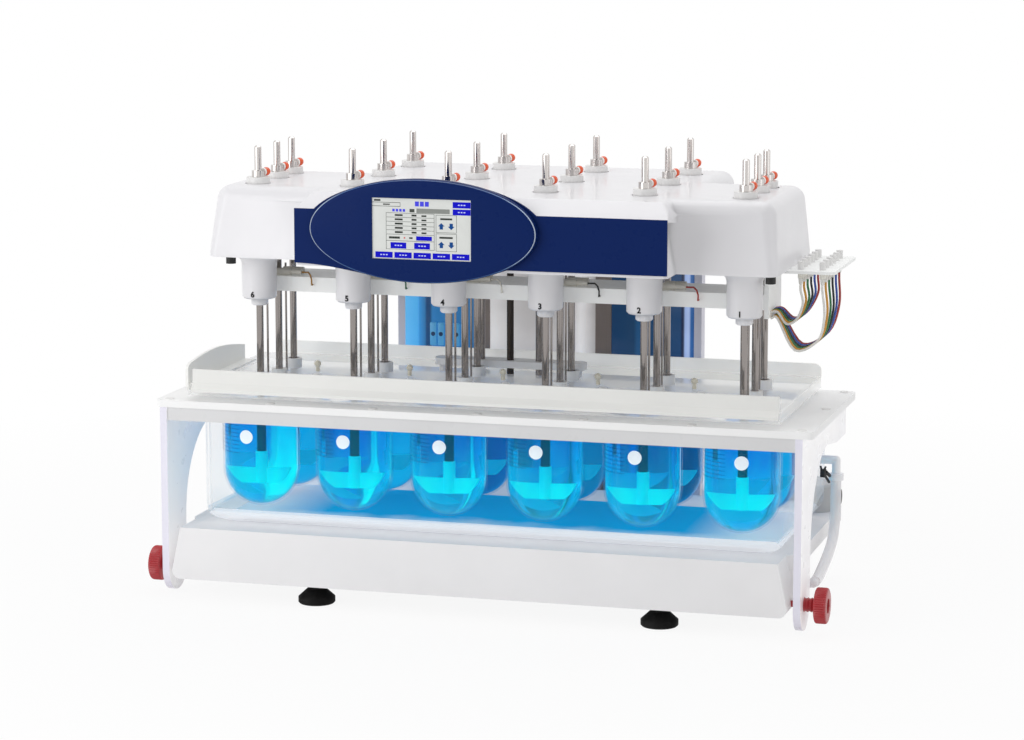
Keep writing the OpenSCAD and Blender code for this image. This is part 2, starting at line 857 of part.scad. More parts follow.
// White hubs under the head that guard the front shafts
module spindle_hubs() {
    bore = shaft_d / 2 + clear;
    r = hub_d / 2;
    collar_r = 12;
    end = -hub_h - 10;
    profile = [
        [bore, 0], [hub_flange_d / 2, 0], [hub_flange_d / 2, -3], [r + 1, -10], [r, -14],
        [r - 0.5, 3 - hub_h], [r - 3, -hub_h], [collar_r, -hub_h], [collar_r, end + 2],
        [collar_r - 2, end], [bore, end]
    ];
    color("white") from_front_row() for (i = [0:columns - 1]) translate([col_x(i), 0, head_z])
        rotate_extrude() polygon(profile);
}
module spindle_bearings() {
    color("#9a9a9a") from_front_row() for (p = spindle_tops) translate([p[0], p[1], floor_top])
        ring(bearing_d, shaft_d + 2 * slip, bearing_h);
}
module drive_motor() {
    boss_d = 20;
    boss_h = 3;
    h = pulley_z - floor_top - motor_gap - boss_h;
    color("#303030") from_front_row() translate([0, row_pitch, floor_top]) difference() {
        union() {
            cylinder(d = motor_d, h = h);
            translate([0, 0, h]) cylinder(d = boss_d, h = boss_h);
        }
        translate([0, 0, h + boss_h - motor_bore]) cylinder(d = shaft_d + 2 * slip, h = motor_bore + cut);
    }
}
module pulley() {
    flange_t = 1.5;
    flange_w = 2.5;
    difference() {
        union() {
            cylinder(d = pulley_d, h = pulley_h);
            for (z = [-flange_t, pulley_h]) translate([0, 0, z])
                cylinder(d = pulley_d + 2 * flange_w, h = flange_t);
        }
        translate([0, 0, -2 * flange_t]) cylinder(d = shaft_d + 2 * seat, h = pulley_h + 4 * flange_t);
    }
}
module motor_pulley() {
    low = cut - motor_gap - motor_bore;
    color("#505050") from_front_row() translate([0, row_pitch, pulley_z]) {
        pulley();
        translate([0, 0, low]) cylinder(d = shaft_d, h = pulley_h + 2 - low);
    }
}
module drive_belt() {
    inner = pulley_d / 2 + clear;
    outer = inner + belt_t;
    x = grid_half;
    color("#181818") from_front_row() translate([0, 0, pulley_z + 1]) difference() {
        linear_extrude(pulley_h - 2)
            rounded_rect(-x - outer, x + outer, -outer, row_pitch + outer, outer);
        translate([0, 0, -cut]) linear_extrude(pulley_h)
            rounded_rect(-x - inner, x + inner, -inner, row_pitch + inner, inner);
    }
}

// White collar, steel clamp and ball grip on a rod at the top of the head
module clamp_top() {
    bore = shaft_d + 2 * seat;
    sunk = 6;
    neck = 4;
    grip_turn = 62;
    color("white") translate([0, 0, head_top - sunk]) ring(collar_d, bore, collar_h + sunk - seat);
    color("silver") translate([0, 0, head_top + collar_h]) ring(clamp_d, bore, clamp_h);
    color("#e0521f") rotate(grip_turn)
        translate([clamp_d / 2 + seat, 0, head_top + collar_h + ball_d / 2 + clear]) {
            bar_x(neck, ball_d / 2);
            translate([ball_d / 2 + clear, 0, 0]) sphere(d = ball_d);
        }
}
module rod(z0) {
    chamfer = 2;
    color("silver") {
        translate([0, 0, z0]) cylinder(d = shaft_d, h = tip_z - chamfer - z0);
        translate([0, 0, tip_z - chamfer]) cylinder(d1 = shaft_d, d2 = shaft_d - 2 * chamfer, h = chamfer);
    }
}

// Stirring spindle: paddle, shaft, pulley and clamp
module paddle() {
    arc_r = 41.5;
    foot_w = 42;
    arc_z = sqrt(arc_r * arc_r - foot_w * foot_w / 4);
    sleeve = paddle_h + sleeve_h;
    difference() {
        union() {
            translate([0, paddle_t / 2, blade_z]) rotate([90, 0, 0]) linear_extrude(paddle_t)
                intersection() {
                    translate([-paddle_w / 2, 0]) square([paddle_w, paddle_h]);
                    translate([0, arc_z]) circle(r = arc_r, $fn = 96);
                }
            translate([0, 0, blade_z]) cylinder(d = sleeve_d, h = sleeve);
        }
        translate([0, 0, blade_z + blade_sole]) cylinder(d = shaft_d + 2 * seat, h = sleeve);
    }
}
module spindle(n, y) {
    from_front_row() translate([spindle_x(n), y, 0]) {
        rod(blade_z + blade_sole + seat);
        color("white") paddle();
        color("#505050") translate([0, 0, pulley_z]) pulley();
        clamp_top();
    }
}

// Beam with the sample probes, hung from the head by an end bracket at each side
module probe_beam() {
    w = beam_wall;
    d = beam_d / 2;
    channel = [
        [-d, beam_z], [-d, beam_top], [d, beam_top], [d, beam_z], [d - w, beam_z],
        [d - w, beam_top - w], [w - d, beam_top - w], [w - d, beam_z]
    ];
    color("#e4e6e4") from_front_row() difference() {
        union() {
            translate([-port_x, mid_y, 0]) rotate([90, 0, 90]) linear_extrude(2 * port_x) polygon(channel);
            for (s = [-1, 1]) translate([s > 0 ? port_x : -port_x - port_t, mid_y - d, port_z])
                cube([port_t, beam_d, head_z - port_z]);
        }
        for (i = [0:columns - 1], s = [-1, 1]) translate([col_x(i), mid_y + s * probe_out, beam_top - 2 * w])
            cylinder(d = probe_d + 2 * seat, h = 3 * w);
        for (s = [-1, 1]) translate([s * grid_half, mid_rod_y, beam_top - 2 * w])
            cylinder(d = shaft_d + 2 * seat, h = 3 * w);
        for (i = [0:columns - 2]) translate([col_x(i) + col_pitch / 2, mid_y - d - cut, beam_z + beam_h / 2])
            rotate([-90, 0, 0]) cylinder(d = lead_d + 2 * clear, h = w + 2 * cut);
    }
}
module sample_probes() {
    low = plate_top - probe_dip;
    stand = 8;
    color("silver") from_front_row() for (i = [0:columns - 1], s = [-1, 1])
        translate([col_x(i), mid_y + s * probe_out, low])
            cylinder(d = probe_d, h = beam_top + stand - low, $fn = 24);
}
module beam_rods() {
    from_front_row() {
        for (s = [-1, 1]) translate([s * grid_half, mid_rod_y, 0]) {
            rod(rod_low);
            clamp_top();
        }
        color("silver") for (i = [1:columns - 2]) translate([col_x(i), mid_rod_y, rod_low])
            cylinder(d = shaft_d, h = beam_top - beam_wall - rod_low);
        color("silver") for (x = tray_guide_xs) translate([x, bracket_y, rod_low])
            cylinder(d = tray_guide_d, h = floor_top - rod_low);
    }
}
module guide_rods() {
    from_front_row() for (x = guide_xs) translate([x, guide_y, 0]) {
        rod(head_z - rod_drop);
        clamp_top();
    }
}
module lift_tube() {
    color("silver") from_front_row() translate([0, lift_y, head_z - rod_drop]) difference() {
        cylinder(d = lift_tube_d, h = rod_drop);
        translate([0, 0, -cut]) cylinder(d = lift_screw_d + 2 * clear, h = nut_h + 2 * cut);
        translate([0, 0, nut_h]) cylinder(d = tube_bore, h = rod_drop);
    }
}

// Clear plugs on the beam and the short leads that drop into it
module lead_connectors() {
    long = 34;
    tail = 16;
    back = 30;
    color("#f4f4f0") from_front_row() for (i = [0:columns - 2])
        translate([col_x(i) + col_pitch / 2 - plug_tail, 0, beam_top + plug_d / 2]) {
            translate([-tail - long, plug_y, 0]) bar_x(plug_d, long);
            translate([-tail, plug_y, 0]) bar_x(plug_d - 3, tail);
            translate([-long, plug_y + 2 * plug_d, 0]) bar_x(plug_d, back);
        }
}
module beam_leads() {
    face = mid_y - beam_d / 2;
    top = beam_top + plug_d / 2;
    hole = beam_z + beam_h / 2;
    route = [
        [seat - plug_tail, plug_y, top], [-15, plug_y, top],
        [-8, face + 6, top + 1], [-2, face - 2, top - 2],
        [1, face - 6, top - 8], [1, face - 6, hole + 3], [0, face - 3, hole], [0, face + beam_wall, hole]
    ];
    color("#b08040") from_front_row() for (i = [0:columns - 2])
        translate([col_x(i) + col_pitch / 2, 0, 0]) swept(route, lead_d, 8);
}

// Sample tube ports beside the right end of the head
module manifold_plate() {
    color("#eef0ee") from_front_row() difference() {
        translate([0, 0, head_z - manifold_t]) linear_extrude(manifold_t)
            rounded_rect(manifold_in, manifold_out, luer_row(0) - port_edge, luer_row(5) + port_edge, 5);
        for (c = [0, 1], k = [0:5]) translate([luer_x(c), luer_row(k), head_z - manifold_t - cut])
            cylinder(d = luer_stem_d + 2 * seat, h = manifold_t + 2 * cut);
    }
}
module luer_fittings() {
    nut_d = 8;
    nut = 8;
    cap_d = 9;
    cap_h = 11;
    tip = luer_low - nut - manifold_t;
    color("#f0ece6") from_front_row() for (c = [0, 1], k = [0:5])
        translate([luer_x(c), luer_row(k), head_z]) {
            cylinder(d = cap_d, h = cap_h);
            translate([0, 0, -manifold_t]) cylinder(d = luer_stem_d, h = manifold_t);
            translate([0, 0, -manifold_t - nut]) cylinder(d = nut_d, h = nut);
            translate([0, 0, -luer_low]) cylinder(d1 = luer_stem_d - 1, d2 = luer_stem_d + 1, h = tip);
        }
}
module sample_tubes() {
    color("#d8a020") from_front_row() for (c = [0, 1], k = [0:5]) swept(tube_route(c, k), tube_d, 8);
}
module thumb_knob(s) {
    color("#151515") from_front_row() translate([s * thumb_x, thumb_y, head_z]) {
        translate([0, 0, -thumb_h]) cylinder(d = thumb_d, h = thumb_h - clear);
        translate([0, 0, -thumb_h]) cylinder(d = thumb_stud_d, h = thumb_h + floor_t);
    }
}
module cover_screw() {
    color("#4a4440") from_front_row() translate([screw_x, bracket_y, 0]) {
        translate([0, 0, rod_low]) cylinder(d = cover_screw_d, h = floor_top - rod_low);
        translate([0, 0, head_z - wheel_drop]) cylinder(d = wheel_d, h = wheel_h);
    }
}

// Clear tray over the vessels, with white rails and fittings
module tray_hole(x, y, d) {
    translate([x, y, tray_z - cut]) cylinder(d = d, h = tray_t + 2 * cut);
}
module cover_tray() {
    x = tray_half;
    w = rail_t;
    color("#eaf2f6", 0.5) from_front_row() difference() {
        translate([-x, -tray_front, tray_z]) cube([2 * x, tray_front + tray_back, tray_h]);
        translate([w - x, w - tray_front, sheet_top])
            cube([2 * (x - w), tray_front + tray_back - 2 * w, tray_h]);
        for (p = spindle_tops) tray_hole(p[0], p[1], shaft_d + shaft_room);
        for (i = [0:columns - 1], s = [-1, 1])
            tray_hole(col_x(i), mid_y + s * probe_out, probe_d + shaft_room);
        for (i = [0:columns - 1]) tray_hole(col_x(i), mid_rod_y, shaft_d + 2 * clear);
        for (x = tray_guide_xs) tray_hole(x, bracket_y, tray_guide_d + 2 * clear);
        tray_hole(screw_x, bracket_y, cover_screw_d + 2 * clear);
    }
}
// Front rail with a flared lip and rear rail with round top corners
module tray_rails() {
    rail_h = 23;
    lip = [-11, 7];
    inset = 8;
    t = rail_t;
    front = [
        [t, tray_h], [t, tray_h + t], [0, tray_h + t], [0, tray_h + rail_h], [-t, tray_h + rail_h],
        [-t, tray_h + t], [lip[0], lip[1] + t], lip, [lip[0] + t, lip[1]], [-t / 3, tray_h]
    ];
    color("white") from_front_row() translate([0, 0, tray_z]) {
        translate([inset - tray_half, -tray_front, 0]) rotate([90, 0, 90])
            linear_extrude(2 * tray_half - inset) polygon(front);
        translate([0, tray_back + t, t]) rotate([90, 0, 0]) linear_extrude(t)
            rounded_rect(20 - tray_half, tray_half, 0, rail_h + 7, 10);
    }
}
// Arched guard on the left rim, with a flat foot
module tray_side_guard() {
    guard_l = 226;
    low = 6;
    shoulder = 43;
    rise = 10;
    fall = 5;
    foot_w = 18;
    nose = 6;
    bow = [for (t = [0:0.05:1]) [guard_l * t, shoulder + rise * sin(180 * t) - fall * t]];
    outline = concat([[nose, low], [0, low + nose], [0, shoulder - nose], [nose / 3, shoulder - nose / 3]],
        [for (i = [1:len(bow) - 1]) bow[i]], [[guard_l, low]]);
    color("white") from_front_row() translate([-tray_half - rail_t, -tray_front, tray_z]) {
        rotate([90, 0, 90]) linear_extrude(rail_t) polygon(outline);
        translate([rail_t - cut, rail_t, tray_h]) cube([foot_w, guard_l - rail_t, 2]);
    }
}
module ball_plug() {
    stem_h = 8;
    plug = 10;
    cylinder(d = plug - 4, h = stem_h);
    translate([0, 0, stem_h + 3]) sphere(d = plug);
}
module dosing_port() {
    port_d = 16;
    port_h = 6;
    cylinder(d = port_d, h = port_h);
    translate([0, 0, port_h]) cylinder(d1 = port_d, d2 = port_d - 6, h = port_h);
    translate([port_d + 4, -4, 0]) cube([14, 8, 9]);
}
module tray_fittings() {
    ring_d = 22;
    color("white") from_front_row() {
        for (i = [0:columns - 1]) translate([col_x(i), mid_rod_y, sheet_top])
            ring(ring_d, shaft_d + 2 * clear, 8);
        for (p = spindle_tops) translate([p[0], p[1], sheet_top])
            ring(ring_d + 2, shaft_d + shaft_room, p[1] > 0 ? 14 : 5);
        for (i = [0:columns - 2]) {
            for (y = [-30, row_pitch - 26]) translate([col_x(i) + 46, y, sheet_top]) ball_plug();
            translate([col_x(i) + 76, 24, sheet_top]) dosing_port();
        }
    }
}
module tray_bracket() {
    round_r = 14;
    color("white") from_front_row() difference() {
        union() {
            translate([screw_x, bracket_y, bracket_z]) linear_extrude(bracket_t)
                rounded_rect(-bracket_half, bracket_half, -bracket_front, bracket_rear, round_r);
            for (s = [-1, 1]) translate([screw_x + s * (bracket_half - post_d), bracket_y, sheet_top])
                cylinder(d = post_d, h = bracket_z - sheet_top + cut);
        }
        for (x = tray_guide_xs) translate([x, bracket_y, bracket_z - cut])
            cylinder(d = tray_guide_d + 2 * slip, h = bracket_t + 2 * cut);
        translate([screw_x, bracket_y, bracket_z - cut])
            cylinder(d = cover_screw_d + 2 * clear, h = bracket_t + 2 * cut);
    }
}

base_case();
base_floor();
levelling_feet();
bath_tub();
side_panel(-1);  // side_panel_left
side_panel(1);  // side_panel_right
vessel_plate();
fascia_strip();
plate_screws();
vessels();
lift_column();
column_trim();
rear_cabinets();
lift_motor();
lift_screw();
circulator();
hose_fittings();
bath_hose();
lock_knob(-1);  // lock_knob_left
lock_knob(1);  // lock_knob_right
head_cover();
head_floor();
front_apron();
console();
touch_screen();
spindle_hubs();
spindle_bearings();
drive_motor();
motor_pulley();
drive_belt();
probe_beam();
sample_probes();
beam_rods();
guide_rods();
lift_tube();
lead_connectors();
beam_leads();
manifold_plate();
luer_fittings();
sample_tubes();
thumb_knob(-1);  // thumb_knob_left
thumb_knob(1);  // thumb_knob_right
cover_screw();
cover_tray();
tray_rails();
tray_side_guard();
tray_fittings();
tray_bracket();
spindle(1, 0);  // front_spindle_1
spindle(2, 0);  // front_spindle_2
spindle(3, 0);  // front_spindle_3
spindle(4, 0);  // front_spindle_4
spindle(5, 0);  // front_spindle_5
spindle(6, 0);  // front_spindle_6
spindle(1, row_pitch);  // rear_spindle_1
spindle(2, row_pitch);  // rear_spindle_2
spindle(3, row_pitch);  // rear_spindle_3
spindle(4, row_pitch);  // rear_spindle_4
spindle(5, row_pitch);  // rear_spindle_5
spindle(6, row_pitch);  // rear_spindle_6
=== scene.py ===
"""Looks of a bench dissolution tester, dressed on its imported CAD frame.

Sizes in the classes are millimetres, with depths counted from the front row of
spindles, as in the part's own source. Datum turns them into metres in the frame.
"""
from __future__ import annotations

import json
import logging
import math
from dataclasses import dataclass
from enum import Enum
from typing import Any, Callable, Iterable, Sequence

import bmesh
import bpy
from mathutils import Matrix, Vector

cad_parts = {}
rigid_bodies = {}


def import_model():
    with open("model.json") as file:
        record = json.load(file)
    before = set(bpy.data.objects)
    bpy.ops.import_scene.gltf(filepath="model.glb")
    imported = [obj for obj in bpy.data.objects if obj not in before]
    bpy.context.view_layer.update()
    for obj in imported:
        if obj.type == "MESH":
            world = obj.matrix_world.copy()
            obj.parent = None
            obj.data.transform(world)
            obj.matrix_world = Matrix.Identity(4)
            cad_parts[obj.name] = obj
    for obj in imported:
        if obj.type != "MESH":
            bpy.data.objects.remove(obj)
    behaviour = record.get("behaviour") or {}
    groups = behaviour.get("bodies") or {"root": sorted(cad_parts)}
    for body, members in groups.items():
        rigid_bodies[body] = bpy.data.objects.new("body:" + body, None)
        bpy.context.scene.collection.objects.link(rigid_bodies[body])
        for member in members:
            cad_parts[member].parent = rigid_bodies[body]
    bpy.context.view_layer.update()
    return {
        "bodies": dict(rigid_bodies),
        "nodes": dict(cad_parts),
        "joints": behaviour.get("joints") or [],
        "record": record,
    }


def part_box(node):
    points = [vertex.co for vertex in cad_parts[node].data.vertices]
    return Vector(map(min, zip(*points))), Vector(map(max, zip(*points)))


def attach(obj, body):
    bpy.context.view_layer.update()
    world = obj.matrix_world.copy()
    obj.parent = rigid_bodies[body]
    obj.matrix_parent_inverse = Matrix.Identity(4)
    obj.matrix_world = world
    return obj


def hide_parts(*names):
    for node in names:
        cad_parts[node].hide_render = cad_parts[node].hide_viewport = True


LOG = logging.getLogger("tester")
MM = 0.001
# Spacing of the vessels from column to column and from row to row, in millimetres
PITCH = 140.0
COLUMNS = 6

Pair = tuple[float, float]
Point = tuple[float, float, float]
Bands = tuple[tuple[float, str], ...]
Frame = dict[str, Any]
PaintRule = Callable[[Vector, Vector], int]
Tree = bpy.types.NodeTree
Node = bpy.types.Node
Socket = bpy.types.NodeSocket
Mesh = bpy.types.Mesh
Object = bpy.types.Object


class Side(Enum):
    """Left or right end of the instrument, as the sign of X."""

    LEFT = -1
    RIGHT = 1


class Brush(Enum):
    """Direction in which a metal face was brushed or ground."""

    ALONG_X = (0.04, 1.0, 1.0)
    ROUND_Z = (0.6, 0.6, 1.0)
    ALONG_Z = (1.0, 1.0, 0.04)


class RodPart(Enum):
    """Pieces of a spindle or rod, as the numbers of their finishes."""

    ROD = 0
    COLLAR = 1
    BALL = 2
    PADDLE = 3


class Ink(Enum):
    """Inks of the generic picture on the touch screen."""

    PAPER = 0
    LINE = 1
    GREY = 2
    BLUE = 3
    TITLE = 4
    ARROW = 5
    WORD = 6
    RED = 7
    LABEL = 8


# Small tools


def linear(colour: str) -> tuple[float, float, float, float]:
    """Turns an sRGB hex colour into linear RGBA.

    Args:
        colour: Hex text such as "#e8e8ec".

    Returns:
        Linear red, green, blue and an alpha of 1.
    """
    parts = [int(colour[i:i + 2], 16) / 255 for i in (1, 3, 5)]
    red, green, blue = (c / 12.92 if c <= 0.04045 else ((c + 0.055) / 1.055) ** 2.4 for c in parts)
    return red, green, blue, 1.0


def add(tree: Tree, kind: str, settings: dict[Any, Any] | None = None,
        links: dict[Any, Any] | None = None) -> Node:
    """Adds one node with its settings and incoming links.

    Args:
        tree: Node tree to add to.
        kind: Node type identifier.
        settings: Node attributes or input values, by attribute, input name or input number.
        links: Sockets to connect, by input name or input number.

    Returns:
        The new node.
    """
    node = tree.nodes.new(kind)
    for key, value in (settings or {}).items():
        if isinstance(key, str) and hasattr(node, key):
            setattr(node, key, value)
        else:
            node.inputs[key].default_value = value
    for key, socket in (links or {}).items():
        tree.links.new(socket, node.inputs[key])
    return node


def per_metre(size_mm: float) -> float:
    """Texture scale that gives features of a size in millimetres."""
    return 1.0 / (size_mm * MM)


def column_x(column: int) -> float:
    """X in millimetres of a column of vessels, counted from 0 at the left."""
    return (column - (COLUMNS - 1) / 2) * PITCH


def turns(steps: int) -> list[float]:
    """Angles of equal steps round a full turn."""
    return [2 * math.pi * k / steps for k in range(steps)]


@dataclass(frozen=True)
class Datum:
    """Maps millimetres from the front spindle row to metres in the frame."""

    row_y: float

    def at(self, x: float, y: float, z: float) -> Vector:
        """Point in the frame for a point counted from the front row."""
        return Vector((x * MM, y * MM + self.row_y, z * MM))


def in_scene(name: str, data: bpy.types.ID) -> Object:
    """Puts data into the scene as an object at the origin.

    Args:
        name: Object name.
        data: Mesh, curve, lamp or camera.

    Returns:
        The new object.
    """
    obj = bpy.data.objects.new(name, data)
    bpy.context.scene.collection.objects.link(obj)
    return obj


def baked(obj: Object) -> Mesh:
    """Plain mesh of an object as its modifiers leave it."""
    graph = bpy.context.evaluated_depsgraph_get()
    return bpy.data.meshes.new_from_object(obj.evaluated_get(graph), depsgraph=graph)


def mesh_piece(name: str, verts: Sequence[Sequence[float]], faces: Sequence[Sequence[int]],
               materials: Sequence[bpy.types.Material], indices: Sequence[int] | None = None,
               smooth: float | None = None) -> Object:
    """Makes a mesh object at the origin with outward faces.

    Args:
        name: Piece name.
        verts: Points in metres.
        faces: Point numbers of each face.
        materials: Materials of the piece.
        indices: Material number of each face, or None for the first everywhere.
        smooth: Angle in degrees up to which edges are shaded smooth, or None for flat.

    Returns:
        The new object.
    """
    mesh = bpy.data.meshes.new(name)
    mesh.from_pydata([tuple(v) for v in verts], [], [tuple(f) for f in faces])
    for material in materials:
        mesh.materials.append(material)
    if indices is not None:
        mesh.polygons.foreach_set("material_index", list(indices))
    weld(mesh)
    if smooth is not None:
        shade(mesh, smooth)
    return in_scene(name, mesh)


def finished(name: str, work: bmesh.types.BMesh, material: bpy.types.Material, smooth: float) -> Object:
    """Makes a piece with outward faces of geometry that was edited.

    Args:
        name: Piece name.
        work: Geometry in metres, which is freed.
        material: Material of the piece.
        smooth: Angle in degrees up to which edges are shaded smooth.

    Returns:
        The new object.
    """
    bmesh.ops.recalc_face_normals(work, faces=work.faces)
    mesh = bpy.data.meshes.new(name)
    work.to_mesh(mesh)
    work.free()
    mesh.materials.append(material)
    shade(mesh, smooth)
    return in_scene(name, mesh)


def weld(mesh: Mesh, merge: float = 1e-6, outwards: bool = True) -> None:
    """Merges doubles and turns the faces outwards.

    Args:
        mesh: Mesh to change.
        merge: Distance in metres up to which points are one.
        outwards: Whether the faces still have to be turned.
    """
    work = bmesh.new()
    work.from_mesh(mesh)
    bmesh.ops.remove_doubles(work, verts=work.verts, dist=merge)
    if outwards:
        bmesh.ops.recalc_face_normals(work, faces=work.faces)
    work.to_mesh(mesh)
    work.free()


def shade(mesh: Mesh, angle: float) -> None:
    """Shades smooth, with edges over the angle in degrees kept sharp."""
    mesh.shade_smooth()
    mesh.set_sharp_from_angle(angle=math.radians(angle))


def join(name: str, parts: Sequence[Object]) -> Object:
    """Joins pieces into one object and keeps their materials.

    Args:
        name: Name of the joined piece.
        parts: Mesh objects at the origin.

    Returns:
        The first object, with all meshes in it.
    """
    with bpy.context.temp_override(active_object=parts[0], selected_editable_objects=list(parts)):
        bpy.ops.object.join()
    parts[0].name = name
    parts[0].data.name = name
    return parts[0]


def ring_faces(rows: int, steps: int, base: int = 0, capped: bool = False) -> list[list[int]]:
    """Joins closed rings of points that follow each other.

    Args:
        rows: Number of rings.
        steps: Points in each ring.
        base: Number of the first point.
        capped: Whether the first and last ring are closed with a face.

    Returns:
        Point numbers of each face.
    """
    faces: list[list[int]] = []
    last = base + (rows - 1) * steps
    for low in range(base, last, steps):
        faces += [[low + k, low + (k + 1) % steps, low + steps + (k + 1) % steps, low + steps + k]
                  for k in range(steps)]
    if capped:
        faces += [list(range(base, base + steps))[::-1], list(range(last, last + steps))]
    return faces


def lathe(profile: Sequence[Pair], centre: Point, datum: Datum,
          steps: int = 48) -> tuple[list[Vector], list[list[int]]]:
    """Turns a profile of radius and height round an upright axis.

    Args:
        profile: Radius and height pairs in millimetres, from one end to the other.
        centre: Foot of the axis in millimetres.
        datum: Frame mapping.
        steps: Number of facets round the axis.

    Returns:
        Points in metres and faces.
    """
    x, y, z = centre
    verts = [datum.at(x + radius * math.cos(a), y + radius * math.sin(a), z + height)
             for radius, height in profile for a in turns(steps)]
    return verts, ring_faces(len(profile), steps, capped=True)


def flowing(points: Sequence[Vector], per_span: int) -> list[Vector]:
    """Smooth curve through points.

    Args:
        points: Points to pass through.
        per_span: Points made for each span.

    Returns:
        Points along a Catmull-Rom curve.
    """
    ends = [2 * points[0] - points[1], *points, 2 * points[-1] - points[-2]]
    made: list[Vector] = []
    for i in range(1, len(ends) - 2):
        a, b, c, d = ends[i - 1:i + 3]
        for k in range(per_span):
            t = k / per_span
            made.append(0.5 * (2 * b + (c - a) * t + (2 * a - 5 * b + 4 * c - d) * t * t
                               + (3 * b - a - 3 * c + d) * t ** 3))
    return [*made, points[-1].copy()]


def strut(start: Vector, end: Vector, half: float) -> tuple[list[Vector], list[list[int]]]:
    """Square bar between two points, with its long edges cut off.

    Args:
        start: One end in metres.
        end: Other end in metres.
        half: Half the bar's width in metres.

    Returns:
        Points and faces.
    """
    along = (end - start).normalized()
    side = along.cross(Vector((0.0, 1.0, 0.0))).normalized()
    deep = along.cross(side)
    cut = 0.6
    ring = [(1, cut), (cut, 1), (-cut, 1), (-1, cut), (-1, -cut), (-cut, -1), (cut, -1), (1, -cut)]
    verts = [p + side * (half * u) + deep * (half * v) for p in (start, end) for u, v in ring]
    return verts, ring_faces(2, len(ring), capped=True)


def run_length(points: Sequence[Vector]) -> float:
    """Length of a line of points."""
    return sum((b - a).length for a, b in zip(points, points[1:]))


def grow(name: str, tree: Tree, inputs: dict[str, Any], place: Matrix) -> Object:
    """Runs a geometry tree once and keeps the result as a plain mesh.

    Args:
        name: Piece name.
        tree: Geometry tree with named inputs.
        inputs: Values by input name.
        place: Matrix that puts the result in the frame.

    Returns:
        Object at the origin with the grown mesh.
    """
    obj = in_scene(name, bpy.data.meshes.new(name))
    modifier = obj.modifiers.new("grow", "NODES")
    modifier.node_group = tree
    for item in tree.interface.items_tree:
        if item.item_type == "SOCKET" and item.in_out == "INPUT" and item.name in inputs:
            modifier[item.identifier] = inputs[item.name]
    obj.data = baked(obj)
    obj.modifiers.clear()
    obj.data.name = name
    obj.data.transform(place)
    return obj


def geometry_tree(name: str, inputs: dict[str, str]) -> tuple[Tree, Node]:
    """Starts a geometry tree with named inputs.

    Args:
        name: Tree name.
        inputs: Socket type by input name.

    Returns:
        The tree and its input node.
    """
    tree = bpy.data.node_groups.new(name, "GeometryNodeTree")
    for label, kind in inputs.items():
        tree.interface.new_socket(label, in_out="INPUT", socket_type=kind)
    tree.interface.new_socket("Geometry", in_out="OUTPUT", socket_type="NodeSocketGeometry")
    return tree, tree.nodes.new("NodeGroupInput")


def close_tree(tree: Tree, geometry: Socket, given: Node) -> None:
    """Ends a geometry tree in Realize Instances and Set Material.

    Args:
        tree: Geometry tree.
        geometry: Geometry that the tree gives.
        given: The tree's input node.
    """
    real = add(tree, "GeometryNodeRealizeInstances", links={0: geometry})
    coat = add(tree, "GeometryNodeSetMaterial",
               links={"Geometry": real.outputs[0], "Material": given.outputs["Material"]})
    add(tree, "NodeGroupOutput", links={0: coat.outputs[0]})


def thread_tree() -> Tree:
    """Helical thread: a round bead swept along a spiral of constant radius.

    Returns:
        Tree with the thread's sizes as inputs.
    """
    tree, given = geometry_tree("thread", {
        "Radius": "NodeSocketFloat", "Turns": "NodeSocketFloat", "Height": "NodeSocketFloat",
        "Bead": "NodeSocketFloat", "Material": "NodeSocketMaterial"})
    spiral = add(tree, "GeometryNodeCurveSpiral", {"Resolution": 18}, {
        "Rotations": given.outputs["Turns"], "Start Radius": given.outputs["Radius"],
        "End Radius": given.outputs["Radius"], "Height": given.outputs["Height"]})
    bead = add(tree, "GeometryNodeCurvePrimitiveCircle", {"Resolution": 5}, {"Radius": given.outputs["Bead"]})
    swept = add(tree, "GeometryNodeCurveToMesh", {"Fill Caps": True},
                {"Curve": spiral.outputs[0], "Profile Curve": bead.outputs[0]})
    close_tree(tree, swept.outputs[0], given)
    return tree


def scale_marks_tree() -> Tree:
    """Stack of arc lines on a cylinder, repeated along X for a row of vessels.

    Returns:
        Tree with the lines' and the row's sizes as inputs.
    """
    tree, given = geometry_tree("scale_marks", {
        "Radius": "NodeSocketFloat", "Start": "NodeSocketFloat", "Sweep": "NodeSocketFloat",
        "Lines": "NodeSocketInt", "Step": "NodeSocketFloat", "Vessels": "NodeSocketInt",
        "Pitch": "NodeSocketFloat", "Bead": "NodeSocketFloat", "Material": "NodeSocketMaterial"})
    arc = add(tree, "GeometryNodeCurveArc", {"Resolution": 14}, {
        "Radius": given.outputs["Radius"], "Start Angle": given.outputs["Start"],
        "Sweep Angle": given.outputs["Sweep"]})
    bead = add(tree, "GeometryNodeCurvePrimitiveCircle", {"Resolution": 4}, {"Radius": given.outputs["Bead"]})
    line = add(tree, "GeometryNodeCurveToMesh",
               links={"Curve": arc.outputs[0], "Profile Curve": bead.outputs[0]})
    up = add(tree, "ShaderNodeCombineXYZ", links={"Z": given.outputs["Step"]})
    stack = add(tree, "GeometryNodeMeshLine",
                links={"Count": given.outputs["Lines"], "Offset": up.outputs[0]})
    lines = add(tree, "GeometryNodeInstanceOnPoints",
                links={"Points": stack.outputs[0], "Instance": line.outputs[0]})
    along = add(tree, "ShaderNodeCombineXYZ", links={"X": given.outputs["Pitch"]})
    row = add(tree, "GeometryNodeMeshLine",
              links={"Count": given.outputs["Vessels"], "Offset": along.outputs[0]})
    whole = add(tree, "GeometryNodeRealizeInstances", links={0: lines.outputs[0]})
    out = add(tree, "GeometryNodeInstanceOnPoints",
              links={"Points": row.outputs[0], "Instance": whole.outputs[0]})
    close_tree(tree, out.outputs[0], given)
    return tree


